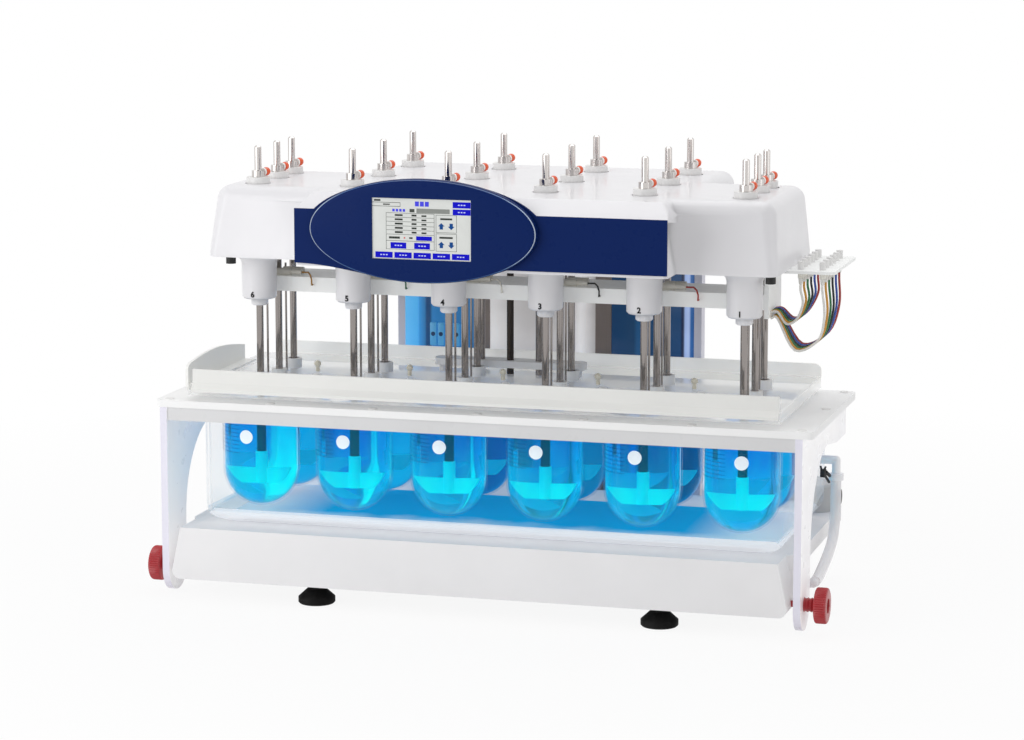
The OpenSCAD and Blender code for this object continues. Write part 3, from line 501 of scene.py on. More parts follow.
def stud_grid_tree() -> Tree:
    """Grid of short round studs that stand along the grid's own Z axis.

    Returns:
        Tree with the grid's and the studs' sizes as inputs.
    """
    tree, given = geometry_tree("stud_grid", {
        "Columns": "NodeSocketInt", "Rows": "NodeSocketInt", "Width": "NodeSocketFloat",
        "Height": "NodeSocketFloat", "Radius": "NodeSocketFloat", "Depth": "NodeSocketFloat",
        "Material": "NodeSocketMaterial"})
    grid = add(tree, "GeometryNodeMeshGrid", links={
        "Size X": given.outputs["Width"], "Size Y": given.outputs["Height"],
        "Vertices X": given.outputs["Columns"], "Vertices Y": given.outputs["Rows"]})
    stud = add(tree, "GeometryNodeMeshCylinder", {"Vertices": 20}, {
        "Radius": given.outputs["Radius"], "Depth": given.outputs["Depth"]})
    out = add(tree, "GeometryNodeInstanceOnPoints",
              links={"Points": grid.outputs[0], "Instance": stud.outputs["Mesh"]})
    close_tree(tree, out.outputs[0], given)
    return tree


# Finishes

BUILT: dict[Finish, bpy.types.Material] = {}


@dataclass
class Canvas:
    """A material in the making: its nodes, its shader and the place of each point."""

    tree: Tree
    shader: Node
    where: Socket

    def put(self, values: dict[str, Any]) -> None:
        """Sets values of the shader's inputs by name."""
        for name, value in values.items():
            self.shader.inputs[name].default_value = value

    def link(self, socket: Socket, *names: str) -> None:
        """Links a socket to inputs of the shader by name."""
        for name in names:
            self.tree.links.new(socket, self.shader.inputs[name])

    def light(self, colour: str, strength: float) -> None:
        """Gives the surface a faint glow of one colour, where it has any: painted light, except on the screen's
        inks, where it is their backlight.
        """
        if strength:
            self.put({"Emission Color": linear(colour), "Emission Strength": strength})

    def cloud(self, size_mm: float, low: float, high: float, where: Socket | None = None) -> Socket:
        """Noise mapped to a range of values.

        Args:
            size_mm: Size of its features in millimetres.
            low: Lowest value.
            high: Highest value.
            where: Places to read it at, or None for the points themselves.

        Returns:
            The value.
        """
        noise = add(self.tree, "ShaderNodeTexNoise", {"Scale": per_metre(size_mm), "Detail": 3.0},
                    {"Vector": self.where if where is None else where})
        value = add(self.tree, "ShaderNodeMapRange", {1: 0.3, 2: 0.7, 3: low, 4: high}, {0: noise.outputs[0]})
        return value.outputs[0]

    def mottled(self, colour: str | Socket, size_mm: float, low: float) -> Socket:
        """Colour that is a little darker here and there.

        Args:
            colour: Colour as hex text or as a socket.
            size_mm: Size of the darker spots in millimetres.
            low: Share of the colour that is left in them.

        Returns:
            The uneven colour.
        """
        mixed = add(self.tree, "ShaderNodeMix", {"data_type": "RGBA", "blend_type": "MULTIPLY", 0: 1.0},
                    {7: self.cloud(size_mm, low, 1.0)})
        if isinstance(colour, str):
            mixed.inputs[6].default_value = linear(colour)
        else:
            self.tree.links.new(colour, mixed.inputs[6])
        return mixed.outputs[2]

    def run(self, axis: str, bands: Bands, offset: float = 0.0) -> Socket:
        """Colours that follow one coordinate.

        Args:
            axis: Name of the coordinate.
            bands: Places in millimetres with their colours.
            offset: Place of the bands' zero in millimetres.

        Returns:
            The colour.
        """
        low, high = bands[0][0], bands[-1][0]
        split = add(self.tree, "ShaderNodeSeparateXYZ", links={0: self.where})
        share = add(self.tree, "ShaderNodeMapRange", {1: (low + offset) * MM, 2: (high + offset) * MM},
                    {0: split.outputs[axis]})
        ramp = add(self.tree, "ShaderNodeValToRGB", links={0: share.outputs[0]})
        stops = ramp.color_ramp.elements
        for place, _colour in bands[1:-1]:
            stops.new((place - low) / (high - low))
        for stop, (_place, colour) in zip(stops, bands):
            stop.color = linear(colour)
        return ramp.outputs[0]


@dataclass(frozen=True)
class Finish:
    """A material with its own colour and nodes."""

    name: str
    colour: str
    roughness: float = 0.4

    def material(self) -> bpy.types.Material:
        """Builds the material at its first use.

        Returns:
            The material.
        """
        if self in BUILT:
            return BUILT[self]
        made = bpy.data.materials.new(self.name)
        BUILT[self] = made
        made.use_nodes = True
        tree = made.node_tree
        tree.nodes.clear()
        shader = add(tree, "ShaderNodeBsdfPrincipled", {
            "Base Color": linear(self.colour), "Roughness": self.roughness})
        add(tree, "ShaderNodeOutputMaterial", links={"Surface": shader.outputs[0]})
        where = add(tree, "ShaderNodeTexCoord")
        self.dress(Canvas(tree, shader, where.outputs["Object"]))
        return made

    def dress(self, on: Canvas) -> None:
        """Adds the nodes of this finish to a fresh material."""


@dataclass(frozen=True)
class Moulded(Finish):
    """Moulded or machined plastic: faint shade drift, fine grain and a soft gloss."""

    grain_mm: float = 1.2
    grain_depth: float = 0.02
    drift: float = 0.04
    drift_mm: float = 90.0
    gloss_mm: float = 14.0
    coat: float = 0.0
    shine: float = 0.5
    glow: float = 0.0

    def dress(self, on: Canvas) -> None:
        """Adds shade drift, uneven gloss, a fine moulded grain and, where set, a painted glow.

        Args:
            on: Fresh material.
        """
        on.link(on.mottled(self.colour, self.drift_mm, 1.0 - self.drift), "Base Color")
        on.link(on.cloud(self.gloss_mm, self.roughness * 0.85, self.roughness * 1.15), "Roughness")
        grain = add(on.tree, "ShaderNodeTexNoise", {"Scale": per_metre(self.grain_mm), "Detail": 2.0},
                    {"Vector": on.where})
        bump = add(on.tree, "ShaderNodeBump", {"Strength": self.grain_depth, "Distance": 0.4 * MM},
                   {"Height": grain.outputs[0]})
        on.link(bump.outputs[0], "Normal")
        on.put({"Coat Weight": self.coat, "Coat Roughness": 0.08, "Specular IOR Level": self.shine})
        on.light(self.colour, self.glow)


@dataclass(frozen=True)
class Metal(Finish):
    """Ground, brushed or satin metal with fine directional lines."""

    brush: Brush = Brush.ROUND_Z
    line_mm: float = 0.8
    line_depth: float = 0.05
    tones: Bands = ()

    def dress(self, on: Canvas) -> None:
        """Adds stretched brush lines to gloss and surface, and painted shade and highlight bands that change with
        height.

        Args:
            on: Fresh material.
        """
        on.put({"Metallic": 1.0})
        if self.tones:
            on.link(on.run("Z", self.tones), "Base Color")
        turn = add(on.tree, "ShaderNodeMapping", {"Scale": self.brush.value}, {"Vector": on.where})
        lines = add(on.tree, "ShaderNodeTexNoise", {"Scale": per_metre(self.line_mm), "Detail": 4.0},
                    {"Vector": turn.outputs[0]})
        rough = add(on.tree, "ShaderNodeMapRange", {
            1: 0.3, 2: 0.7, 3: self.roughness * 0.75, 4: self.roughness * 1.3}, {0: lines.outputs[0]})
        on.link(rough.outputs[0], "Roughness")
        bump = add(on.tree, "ShaderNodeBump", {"Strength": self.line_depth, "Distance": 0.3 * MM},
                   {"Height": lines.outputs[0]})
        on.link(bump.outputs[0], "Normal")


@dataclass(frozen=True)
class Clear(Finish):
    """Clear or frosted plastic and glass: mostly see-through, with a glossy skin."""

    alpha: float = 0.2
    edge: float = 0.6
    edge_from: float = 0.55
    haze_mm: float = 30.0
    glow: float = 0.0

    def dress(self, on: Canvas) -> None:
        """Adds see-through body, skin gloss, denser glancing edges and, where set, a painted glow.

        Args:
            on: Fresh material.
        """
        on.link(on.cloud(self.haze_mm, self.roughness * 0.7, self.roughness * 1.3), "Roughness")
        rim = add(on.tree, "ShaderNodeLayerWeight", {"Blend": 0.5})
        body = add(on.tree, "ShaderNodeMapRange", {1: self.edge_from, 2: 1.0, 3: self.alpha, 4: self.edge},
                   {0: rim.outputs["Facing"]})
        on.link(body.outputs[0], "Alpha")
        on.light(self.colour, self.glow)


@dataclass(frozen=True)
class Medium(Finish):
    """Dyed liquid: it bends light as water does; it is painted paler low in the vessel, with painted streaks that
    stand in for refracted light, and has a painted glow.
    """

    deep: str = "#0098da"
    low: float = 150.0
    high: float = 262.0
    streak_mm: float = 22.0
    streak: float = 0.25
    glow: float = 0.14
    sheen: str = "#1f86d6"

    def dress(self, on: Canvas) -> None:
        """Adds the painted tint that deepens upwards, its painted streaks, a painted glow and the bending of light.

        Args:
            on: Fresh material.
        """
        split = add(on.tree, "ShaderNodeSeparateXYZ", links={0: on.where})
        up = add(on.tree, "ShaderNodeMapRange", {1: self.low * MM, 2: self.high * MM}, {0: split.outputs["Z"]})
        tall = add(on.tree, "ShaderNodeMapping", {"Scale": (1.0, 1.0, 0.35)}, {"Vector": on.where})
        streak = on.cloud(self.streak_mm, -self.streak, self.streak, tall.outputs[0])
        share = add(on.tree, "ShaderNodeMath", {"operation": "ADD", "use_clamp": True},
                    {0: up.outputs[0], 1: streak})
        blue = add(on.tree, "ShaderNodeMix", {"data_type": "RGBA", 6: linear(self.colour), 7: linear(self.deep)},
                   {0: share.outputs[0]})
        on.link(blue.outputs[2], "Base Color", "Emission Color")
        # The emission is painted light that keeps the medium bright.
        on.put({"Emission Strength": self.glow, "Transmission Weight": 1.0, "IOR": 1.333,
                "Specular Tint": linear(self.sheen)})


@dataclass(frozen=True)
class LitFloor(Finish):
    """White floor under coloured vessels: blue light is painted on it in one soft-edged field, with a painted glow.
    """

    blue: str = "#00aee0"
    half_x: float = 350.0
    soft_x: float = 90.0
    front_y: float = -148.0
    soft_y: float = 60.0
    wave_mm: float = 110.0
    wave: float = 0.35
    glow: float = 0.3

    def dress(self, on: Canvas) -> None:
        """Adds the painted field of blue light with a wavy edge, and a painted glow.

        Args:
            on: Fresh material.
        """
        split = add(on.tree, "ShaderNodeSeparateXYZ", links={0: on.where})
        wave = on.cloud(self.wave_mm, -self.wave, self.wave)
        side = add(on.tree, "ShaderNodeMath", {"operation": "ABSOLUTE"}, {0: split.outputs["X"]})
        ends = add(on.tree, "ShaderNodeMapRange", {1: self.half_x * MM, 2: (self.half_x - self.soft_x) * MM},
                   {0: side.outputs[0]})
        depth = add(on.tree, "ShaderNodeMapRange", {
            1: self.front_y * MM, 2: (self.front_y + self.soft_y) * MM, "clamp": False}, {0: split.outputs["Y"]})
        edge = add(on.tree, "ShaderNodeMath", {"operation": "ADD", "use_clamp": True},
                   {0: depth.outputs[0], 1: wave})
        lit = add(on.tree, "ShaderNodeMath", {"operation": "MULTIPLY"}, {0: edge.outputs[0], 1: ends.outputs[0]})
        tint = add(on.tree, "ShaderNodeMix", {"data_type": "RGBA", 6: linear(self.colour), 7: linear(self.blue)},
                   {0: lit.outputs[0]})
        on.link(tint.outputs[2], "Base Color", "Emission Color")
        on.put({"Emission Strength": self.glow, "Specular IOR Level": 0.0})


@dataclass(frozen=True)
class Banded(Finish):
    """Colour painted in bands along X, in millimetres: painted highlights and painted shade, with a painted glow.
    """

    bands: Bands = ()
    offset: float = 0.0
    mottle_mm: float = 40.0
    metallic: float = 0.0
    glow: float = 0.0

    def dress(self, on: Canvas) -> None:
        """Adds the run of painted bands, a faint unevenness and a painted glow.

        Args:
            on: Fresh material.
        """
        colour = on.mottled(on.run("X", self.bands, self.offset), self.mottle_mm, 0.9)
        on.link(colour, "Base Color")
        on.put({"Metallic": self.metallic})
        if self.glow:
            on.link(colour, "Emission Color")
            on.put({"Emission Strength": self.glow})


@dataclass(frozen=True)
class Printed(Finish):
    """Ink or lit picture element: flat colour with a faint unevenness and a glow, which is the screen's backlight
    on its inks and painted light on the vessel dots.
    """

    mottle_mm: float = 18.0
    glow: float = 0.0

    def dress(self, on: Canvas) -> None:
        """Adds a faint unevenness and a glow: backlight on the screen's inks, painted light on the vessel dots.

        Args:
            on: Fresh material.
        """
        on.link(on.mottled(self.colour, self.mottle_mm, 0.93), "Base Color")
        on.put({"Specular IOR Level": 0.1})
        on.light(self.colour, self.glow)


# Moulded ABS and coated sheet: soft white with a faint cool cast and a low gloss
SHELL = Moulded("white_abs_moulded", "#ecebee", 0.34, grain_mm=1.6, grain_depth=0.03, coat=0.15)
BASE_WHITE = Moulded("white_coated_sheet", "#f7f6f7", 0.42, grain_mm=1.0, grain_depth=0.03)
# Polypropylene: whiter and waxier than the shell; the plate has a painted glow, and its front edge a copy with its
# own painted glow
PLATE_WHITE = Moulded("white_polypropylene", "#f0f0f0", 0.6, grain_mm=0.8, grain_depth=0.03, shine=0.1,
                      glow=0.13)
PLATE_EDGE = Moulded("white_polypropylene_edge", "#f0f0f0", 0.6, grain_mm=0.8, shine=0.1, glow=0.12)
# Turned acetal and nylon: clean white and a warmer natural white, softly glossy
FITTING_WHITE = Moulded("white_acetal_turned", "#f0efee", 0.38, grain_mm=0.7)
NATURAL = Moulded("natural_nylon", "#e9e6dc", 0.4, grain_mm=0.8)
# PVC sheet: flat white; the rear rail and the guard are painted brighter with a painted glow
RAIL_WHITE = Moulded("white_pvc_sheet", "#f0f0ed", 0.4, grain_mm=1.0)
REAR_WHITE = Moulded("white_pvc_rear_rail", "#f0f0ed", 0.4, grain_mm=1.0, glow=0.26)
GUARD_WHITE = Moulded("white_pvc_guard", "#f0f0ed", 0.4, grain_mm=1.0, glow=0.1)
# Navy ABS: an even dark blue with hardly any mirror, and the near-black frame of the screen
NAVY = Moulded("navy_abs_gloss", "#11275f", 0.3, grain_mm=2.0, grain_depth=0.01, drift=0.01, shine=0.05)
BEZEL = Moulded("dark_screen_bezel", "#0b1030", 0.35)
# Painted highlight on the oval's rim: bright at its two ends, mid blue along top and bottom
RIM_HIGHLIGHT = Banded("polished_navy_rim", "#c9d8ea", 0.25, offset=-70.0, bands=(
    (-161.0, "#d5e2f2"), (-142.0, "#b4c9e4"), (-112.0, "#3f69a3"), (-60.0, "#264a86"), (60.0, "#264a86"),
    (112.0, "#3f69a3"), (142.0, "#b4c9e4"), (161.0, "#d5e2f2")))
# Ground and brushed metal: bright rods, painted dark navy below the liquid line as painted shade of the medium and
# painted lighter at the top as a painted highlight; darker strip, dull plated sheet, pale satin aluminium and
# brown-black oiled steel;
# the lines are drawn coarser than real to show
ROD_STEEL = Metal("ground_stainless_steel", "#aca6a2", 0.12, brush=Brush.ROUND_Z, line_mm=0.9, line_depth=0.015,
                  tones=((262.0, "#23293c"), (266.0, "#96908d"), (560.0, "#96908d"), (585.0, "#cec9c6")))
STRIP_STEEL = Metal("brushed_stainless_strip", "#847b77", 0.4, brush=Brush.ALONG_Z, line_mm=1.2)
SHEET_STEEL = Metal("zinc_plated_steel", "#9da0a4", 0.4, brush=Brush.ALONG_X, line_mm=1.5)
SATIN_ALU = Metal("satin_anodised_aluminium", "#cfcdcc", 0.36, brush=Brush.ALONG_Z, line_mm=1.4)
DARK_STEEL = Metal("oiled_dark_steel", "#4a4440", 0.38, brush=Brush.ROUND_Z, line_mm=1.0)
# Wide column face: satin grey with painted highlight and shade bands across it and a painted glow
COLUMN = Banded("satin_anodised_column", "#a8a4a3", 0.45, metallic=0.1, glow=0.46, bands=(
    (-88.0, "#e4e2e1"), (-60.0, "#c9c6c5"), (0.0, "#bdb9b8"), (36.0, "#cac7c6"), (50.0, "#efeded"),
    (72.0, "#b1adac")))
# Powder coat: pale, with a fine orange-peel grain and a painted glow
BEAM_GREY = Moulded("pale_powder_coat", "#f0f1f0", 0.45, grain_mm=0.9, grain_depth=0.06, glow=0.11)
# Phenolic: hard and glossy, orange-red on the balls and deep red on the knobs; the balls have a faint painted glow
BALL_RED = Moulded("orange_red_phenolic", "#e8561f", 0.25, grain_mm=2.0, coat=0.3, glow=0.06)
KNOB_RED = Moulded("red_fluted_phenolic", "#b02a31", 0.38, grain_mm=1.0, coat=0.2)
# Glass-filled nylon and plain ABS: flat black, flat grey
BLACK = Moulded("black_glass_nylon", "#171717", 0.5, grain_mm=0.9)
GREY_CASE = Moulded("light_grey_abs", "#b9babb", 0.5)
# Rubber: dark, dull and slightly uneven
RUBBER = Moulded("moulded_black_rubber", "#0a0a0a", 0.72, grain_mm=0.7, grain_depth=0.12, shine=0.2)
# Clear acrylic: nearly invisible face on, milky along its edges; the slab's lower sides are milky with a painted
# glow
ACRYLIC = Clear("cast_clear_acrylic", "#eef3f7", 0.06, alpha=0.006, edge=0.4)
SLAB_EDGE = Clear("acrylic_slab_edge", "#eceef1", 0.15, alpha=0.62, edge=0.85, glow=0.25)
# Polycarbonate, frosted acrylic and PVC hose: milky, the more so at a glancing angle, each with a painted glow
TRAY_CLEAR = Clear("clear_polycarbonate", "#f1f1f0", 0.1, alpha=0.3, edge=0.6, glow=0.1)
FROSTED = Clear("frosted_acrylic_face", "#f4f3f3", 0.35, alpha=0.8, edge=0.9, glow=0.2)
FROST_EDGE = Clear("frosted_acrylic_edge", "#e9e7f4", 0.2, alpha=0.9, edge=1.0, glow=0.06)
HOSE = Clear("clear_pvc_hose", "#e9e7e9", 0.15, alpha=0.66, edge=0.95, glow=0.1)
# Borosilicate glass: clear, with blue painted along the outline in place of the medium seen through the wall
GLASS = Clear("borosilicate_glass", "#4fb2ea", 0.02, alpha=0.006, edge=0.3)
# Bath floor: white sheet under clear acrylic, with a painted pool of deep blue light where light would fall through
# the vessels
BATH_FLOOR = LitFloor("acrylic_floor_in_blue_light", "#e6e9ee", 0.3)
# Dyed water: bright cyan in the front row; the rear row's deeper blue is painted shade, and both have a painted
# glow
LIQUID = Medium("blue_dyed_medium", "#00deee", 0.0)
LIQUID_REAR_SHADE = Medium("blue_dyed_medium_rear", "#009cd0", 0.0, deep="#0084c8")
# PTFE coating: waxy white, kept pale inside the blue by a painted glow
PADDLE = Moulded("white_ptfe_coating", "#e6f2f0", 0.4, glow=0.3)
# Translucent blue acrylic with painted light: painted bright at its left edge, with a painted highlight stripe near
# its right end, painted near navy on the right, and a painted glow
CABINET = Banded("translucent_blue_acrylic", "#256496", 0.15, glow=0.7, bands=(
    (-222.0, "#58a9dd"), (-200.0, "#449cd4"), (-198.0, "#2f83c0"), (-189.0, "#256496"), (-187.0, "#0f3c66"),
    (-181.0, "#0f3c66"), (-178.0, "#2a6fa6"), (-118.0, "#256496"), (-100.0, "#10304f"), (90.0, "#0e3358"),
    (130.0, "#103658"), (136.0, "#194a74"), (150.0, "#103658"), (200.0, "#123a62"), (202.0, "#0c1838"),
    (204.5, "#0c1838"), (205.5, "#8aa0cc"), (213.0, "#9fb2d8"), (214.0, "#2a5c98"), (222.0, "#1d4478")))
# Blue acrylic block: pale, with a painted glow; its ports are dark discs of painted shade standing in for holes
BLOCK_BLUE = Moulded("pale_blue_block", "#5aaee0", 0.35, glow=0.2)
PORT_SHADE = Moulded("deep_blue_port", "#12406f", 0.35)
# Small white and cream plastics: acrylic, acetal and polypropylene, each with its own cast; the nut and the elbow
# have a painted glow
FASCIA = Moulded("white_acrylic_strip", "#e3e3e4", 0.3, shine=0.2)
POST_WHITE = Moulded("white_post_lavender", "#dfdeea", 0.4)
NUT_PALE = Moulded("clear_acetal_nut", "#f2efec", 0.25, coat=0.4, glow=0.08)
ELBOW_WHITE = Moulded("natural_polypropylene", "#ececee", 0.35, glow=0.1)
CREAM = Moulded("cream_acetal_plug", "#ebe5d3", 0.35)
# Printing inks: flat and dull; the screen's ones are lit from behind, and the vessel dot has a painted glow
DOT = Printed("white_vessel_dot", "#eef6fb", 0.3, glow=0.25)
SCALE_INK = Printed("dark_scale_ink", "#05246a", 0.5)
DIGIT_INK = Printed("black_number_ink", "#1a1a1c", 0.5)
INKS = {
    Ink.PAPER: Printed("screen_paper", "#cfd1ce", 0.3, glow=0.25),
    Ink.LINE: Printed("screen_line", "#4f544f", 0.3),
    Ink.GREY: Printed("screen_grey_bar", "#8e918d", 0.3, glow=0.1),
    Ink.BLUE: Printed("screen_button", "#0a0abe", 0.3, glow=0.2),
    Ink.TITLE: Printed("screen_title", "#4a4adc", 0.3, glow=0.2),
    Ink.ARROW: Printed("screen_arrow", "#174a8c", 0.3, glow=0.1),
    Ink.WORD: Printed("screen_word", "#3c403c", 0.3),
    Ink.RED: Printed("screen_mark", "#d05a50", 0.3, glow=0.1),
    Ink.LABEL: Printed("screen_label", "#c4caf4", 0.3, glow=0.2),
}
# Sample tubes and leads: thin coloured plastic, the tubes slightly see-through
TUBE_FINISHES = (
    Clear("sample_tube_white", "#eceae4", 0.25, alpha=0.8),
    Clear("sample_tube_amber", "#d99a2a", 0.25, alpha=0.85),
    Clear("sample_tube_green", "#2f7d4a", 0.25, alpha=0.9),
    Clear("sample_tube_black", "#22242a", 0.3, alpha=0.95),
    Clear("sample_tube_blue", "#2b55b5", 0.25, alpha=0.9),
    Clear("sample_tube_red", "#b5352f", 0.25, alpha=0.9),
)
LEAD_FINISHES = (
    Moulded("lead_tan", "#a87b3c", 0.45),
    Moulded("lead_green", "#1f5c3c", 0.45),
    NATURAL,
    Moulded("lead_black", "#1c1c20", 0.45),
    Moulded("lead_red", "#b23a33", 0.45),
)


# Dressing of CAD nodes


def dress(frame: Frame, finish: Finish, *nodes: str) -> None:
    """Gives whole CAD nodes one finish.

    Args:
        frame: Loaded frame.
        finish: Finish to give.
        nodes: Node names.
    """
    for name in nodes:
        mesh = frame["nodes"][name].data
        mesh.materials.clear()
        mesh.materials.append(finish.material())
        LOG.info("%s: %s", name, finish.name)


def paint(frame: Frame, node: str, finishes: Sequence[Finish], rule: PaintRule) -> None:
    """Gives a CAD node several finishes by where its faces are.

    Args:
        frame: Loaded frame.
        node: Node name.
        finishes: Finishes by number.
        rule: Number of the finish for a face's centre and normal, in metres.
    """
    mesh = frame["nodes"][node].data
    mesh.materials.clear()
    for finish in finishes:
        mesh.materials.append(finish.material())
    mesh.polygons.foreach_set("material_index", [rule(p.center, p.normal) for p in mesh.polygons])
    LOG.info("%s: %s", node, ", ".join(f.name for f in finishes))


def settle(piece: Object, body: str, replaced: Iterable[str] = ()) -> Object:
    """Makes a finished piece ride on a body and take the place of nodes.

    Args:
        piece: Piece in place in the frame.
        body: Body it moves with.
        replaced: CAD nodes that it stands for.

    Returns:
        The same piece.
    """
    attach(piece, body)
    nodes = list(replaced)
    if nodes:
        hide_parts(*nodes)
    LOG.info("%s rides on %s", piece.name, body)
    return piece


def soft_copy(frame: Frame, node: str, finish: Finish, angle: float) -> Object:
    """Copies a CAD node as one welded, smoothly shaded mesh.

    Args:
        frame: Loaded frame.
        node: Node to copy.
        finish: Finish of the copy.
        angle: Largest angle in degrees that is shaded smooth.

    Returns:
        The copy, not yet riding on a body.
    """
    mesh = frame["nodes"][node].data.copy()
    mesh.name = f"{node}_look"
    mesh.materials.clear()
    mesh.materials.append(finish.material())
    weld(mesh, 2e-5, outwards=False)
    shade(mesh, angle)
    obj = in_scene(f"{node}_look", mesh)
    even = obj.modifiers.new("even", "WEIGHTED_NORMAL")
    even.keep_sharp = True
    obj.data = baked(obj)
    obj.modifiers.clear()
    obj.data.name = f"{node}_look"
    return obj


# Sub-assemblies


@dataclass
class Studio:
    """Camera at the photograph's angle, soft light and a pale floor."""

    datum: Datum
    eye: Point = (1229.91, -4261.34, 1066.84)
    azimuth: float = 15.83
    elevation: float = 9.45
    lens: float = 113.49
    sensor: float = 36.0
    far: float = 150.0
    room: float = 0.56
    # Where the surroundings darken behind the camera, as a share of the way to it, and how far
    dark_from: float = 0.72
    dark_to: float = 0.96
    dark: float = 0.1
    # Distances in metres over which the floor's shadow fades into white, and the white in it
    shadow_from: float = 0.7
    shadow_to: float = 1.6
    shadow_white: float = 0.9
    floor_half: float = 40.0
    clear_skins: int = 32
    lamps: Sequence[tuple[str, Point, Point, float, float]] = (
        ("key", (-1.5, -1.9, 1.0), (0.0, 0.0, 0.35), 1.6, 19.0),
        ("fill", (2.6, -0.3, 1.0), (0.4, 0.0, 0.4), 1.4, 5.0),
        ("top", (0.0, 0.6, 2.8), (0.0, 0.0, 0.4), 2.4, 24.0),
    )

    def camera(self) -> None:
        """Puts the camera where the photograph was taken from."""
        data = bpy.data.cameras.new("camera")
        data.lens = self.lens
        data.sensor_width = self.sensor
        data.sensor_fit = "HORIZONTAL"
        data.clip_end = self.far
        obj = in_scene("camera", data)
        obj.location = self.datum.at(*self.eye)
        obj.rotation_euler = (math.radians(90 - self.elevation), 0.0, math.radians(self.azimuth))
        bpy.context.scene.camera = obj

    def lamp(self, name: str, place: Point, aim: Point, size: float, power: float) -> None:
        """Adds one soft area lamp.

        Args:
            name: Lamp name.
            place: Position in metres.
            aim: Point that it faces, in metres.
            size: Width in metres.
            power: Power in watts.
        """
        data = bpy.data.lights.new(name, "AREA")
        data.size = size
        data.energy = power
        obj = in_scene(name, data)
        obj.location = place
        obj.rotation_mode = "QUATERNION"
        obj.rotation_quaternion = (Vector(aim) - Vector(place)).to_track_quat("-Z", "Y")

    def world(self) -> None:
        """White surroundings: full white to the camera, glass and metal, and dark behind the camera."""
        world = bpy.data.worlds.new("white_room")
        world.use_nodes = True
        tree = world.node_tree
        tree.nodes.clear()
        path = add(tree, "ShaderNodeLightPath")
        clear = add(tree, "ShaderNodeMath", {"operation": "MAXIMUM"},
                    {0: path.outputs["Is Glossy Ray"], 1: path.outputs["Is Transmission Ray"]})
        where = add(tree, "ShaderNodeTexCoord")
        turn = math.radians(self.azimuth)
        to_eye = add(tree, "ShaderNodeVectorMath", {
            "operation": "DOT_PRODUCT", 1: (math.sin(turn), -math.cos(turn), 0.0)}, {0: where.outputs["Generated"]})
        mirror = add(tree, "ShaderNodeMapRange", {1: self.dark_from, 2: self.dark_to, 3: 1.0, 4: self.dark},
                     {0: to_eye.outputs["Value"]})
        room = add(tree, "ShaderNodeMix", {2: self.room}, {0: clear.outputs[0], 3: mirror.outputs[0]})
        strength = add(tree, "ShaderNodeMix", {3: 1.0}, {0: path.outputs["Is Camera Ray"], 2: room.outputs[0]})
        light = add(tree, "ShaderNodeBackground", {"Color": (1.0, 1.0, 1.0, 1.0)},
                    {"Strength": strength.outputs[0]})
        add(tree, "ShaderNodeOutputWorld", links={0: light.outputs[0]})
        bpy.context.scene.world = world

    def floor(self) -> None:
        """Pale floor that keeps a faint shadow."""
        half = self.floor_half
        made = bpy.data.materials.new("pale_floor")
        made.use_nodes = True
        tree = made.node_tree
        tree.nodes.clear()
        path = add(tree, "ShaderNodeLightPath")
        matt = add(tree, "ShaderNodeBsdfDiffuse", {"Color": linear("#f2f2f2")})
        white = add(tree, "ShaderNodeEmission", {"Color": (1.0, 1.0, 1.0, 1.0), "Strength": 1.0})
        seen = add(tree, "ShaderNodeMath", {"operation": "MAXIMUM"},
                   {0: path.outputs["Is Camera Ray"], 1: path.outputs["Is Transmission Ray"]})
        seen = add(tree, "ShaderNodeMath", {"operation": "MAXIMUM"},
                   {0: seen.outputs[0], 1: path.outputs["Is Glossy Ray"]})
        where = add(tree, "ShaderNodeTexCoord")
        away = add(tree, "ShaderNodeVectorMath", {"operation": "LENGTH"}, {0: where.outputs["Object"]})
        keep = add(tree, "ShaderNodeMapRange", {
            1: self.shadow_from, 2: self.shadow_to, 3: self.shadow_white, 4: 1.0}, {0: away.outputs["Value"]})
        share = add(tree, "ShaderNodeMath", {"operation": "MULTIPLY"}, {0: seen.outputs[0], 1: keep.outputs[0]})
        both = add(tree, "ShaderNodeMixShader",
                   links={0: share.outputs[0], 1: matt.outputs[0], 2: white.outputs[0]})
        add(tree, "ShaderNodeOutputMaterial", links={0: both.outputs[0]})
        plane = mesh_piece("floor", [(-half, -half, 0), (half, -half, 0), (half, half, 0), (-half, half, 0)],
                           [(0, 1, 2, 3)], [made])

    def build(self) -> None:
        """Sets the camera, the light and the floor."""
        self.camera()
        self.world()
        self.floor()
        for lamp in self.lamps:
            self.lamp(*lamp)
        bpy.context.scene.view_settings.view_transform = "Standard"
        bpy.context.scene.cycles.transparent_max_bounces = self.clear_skins


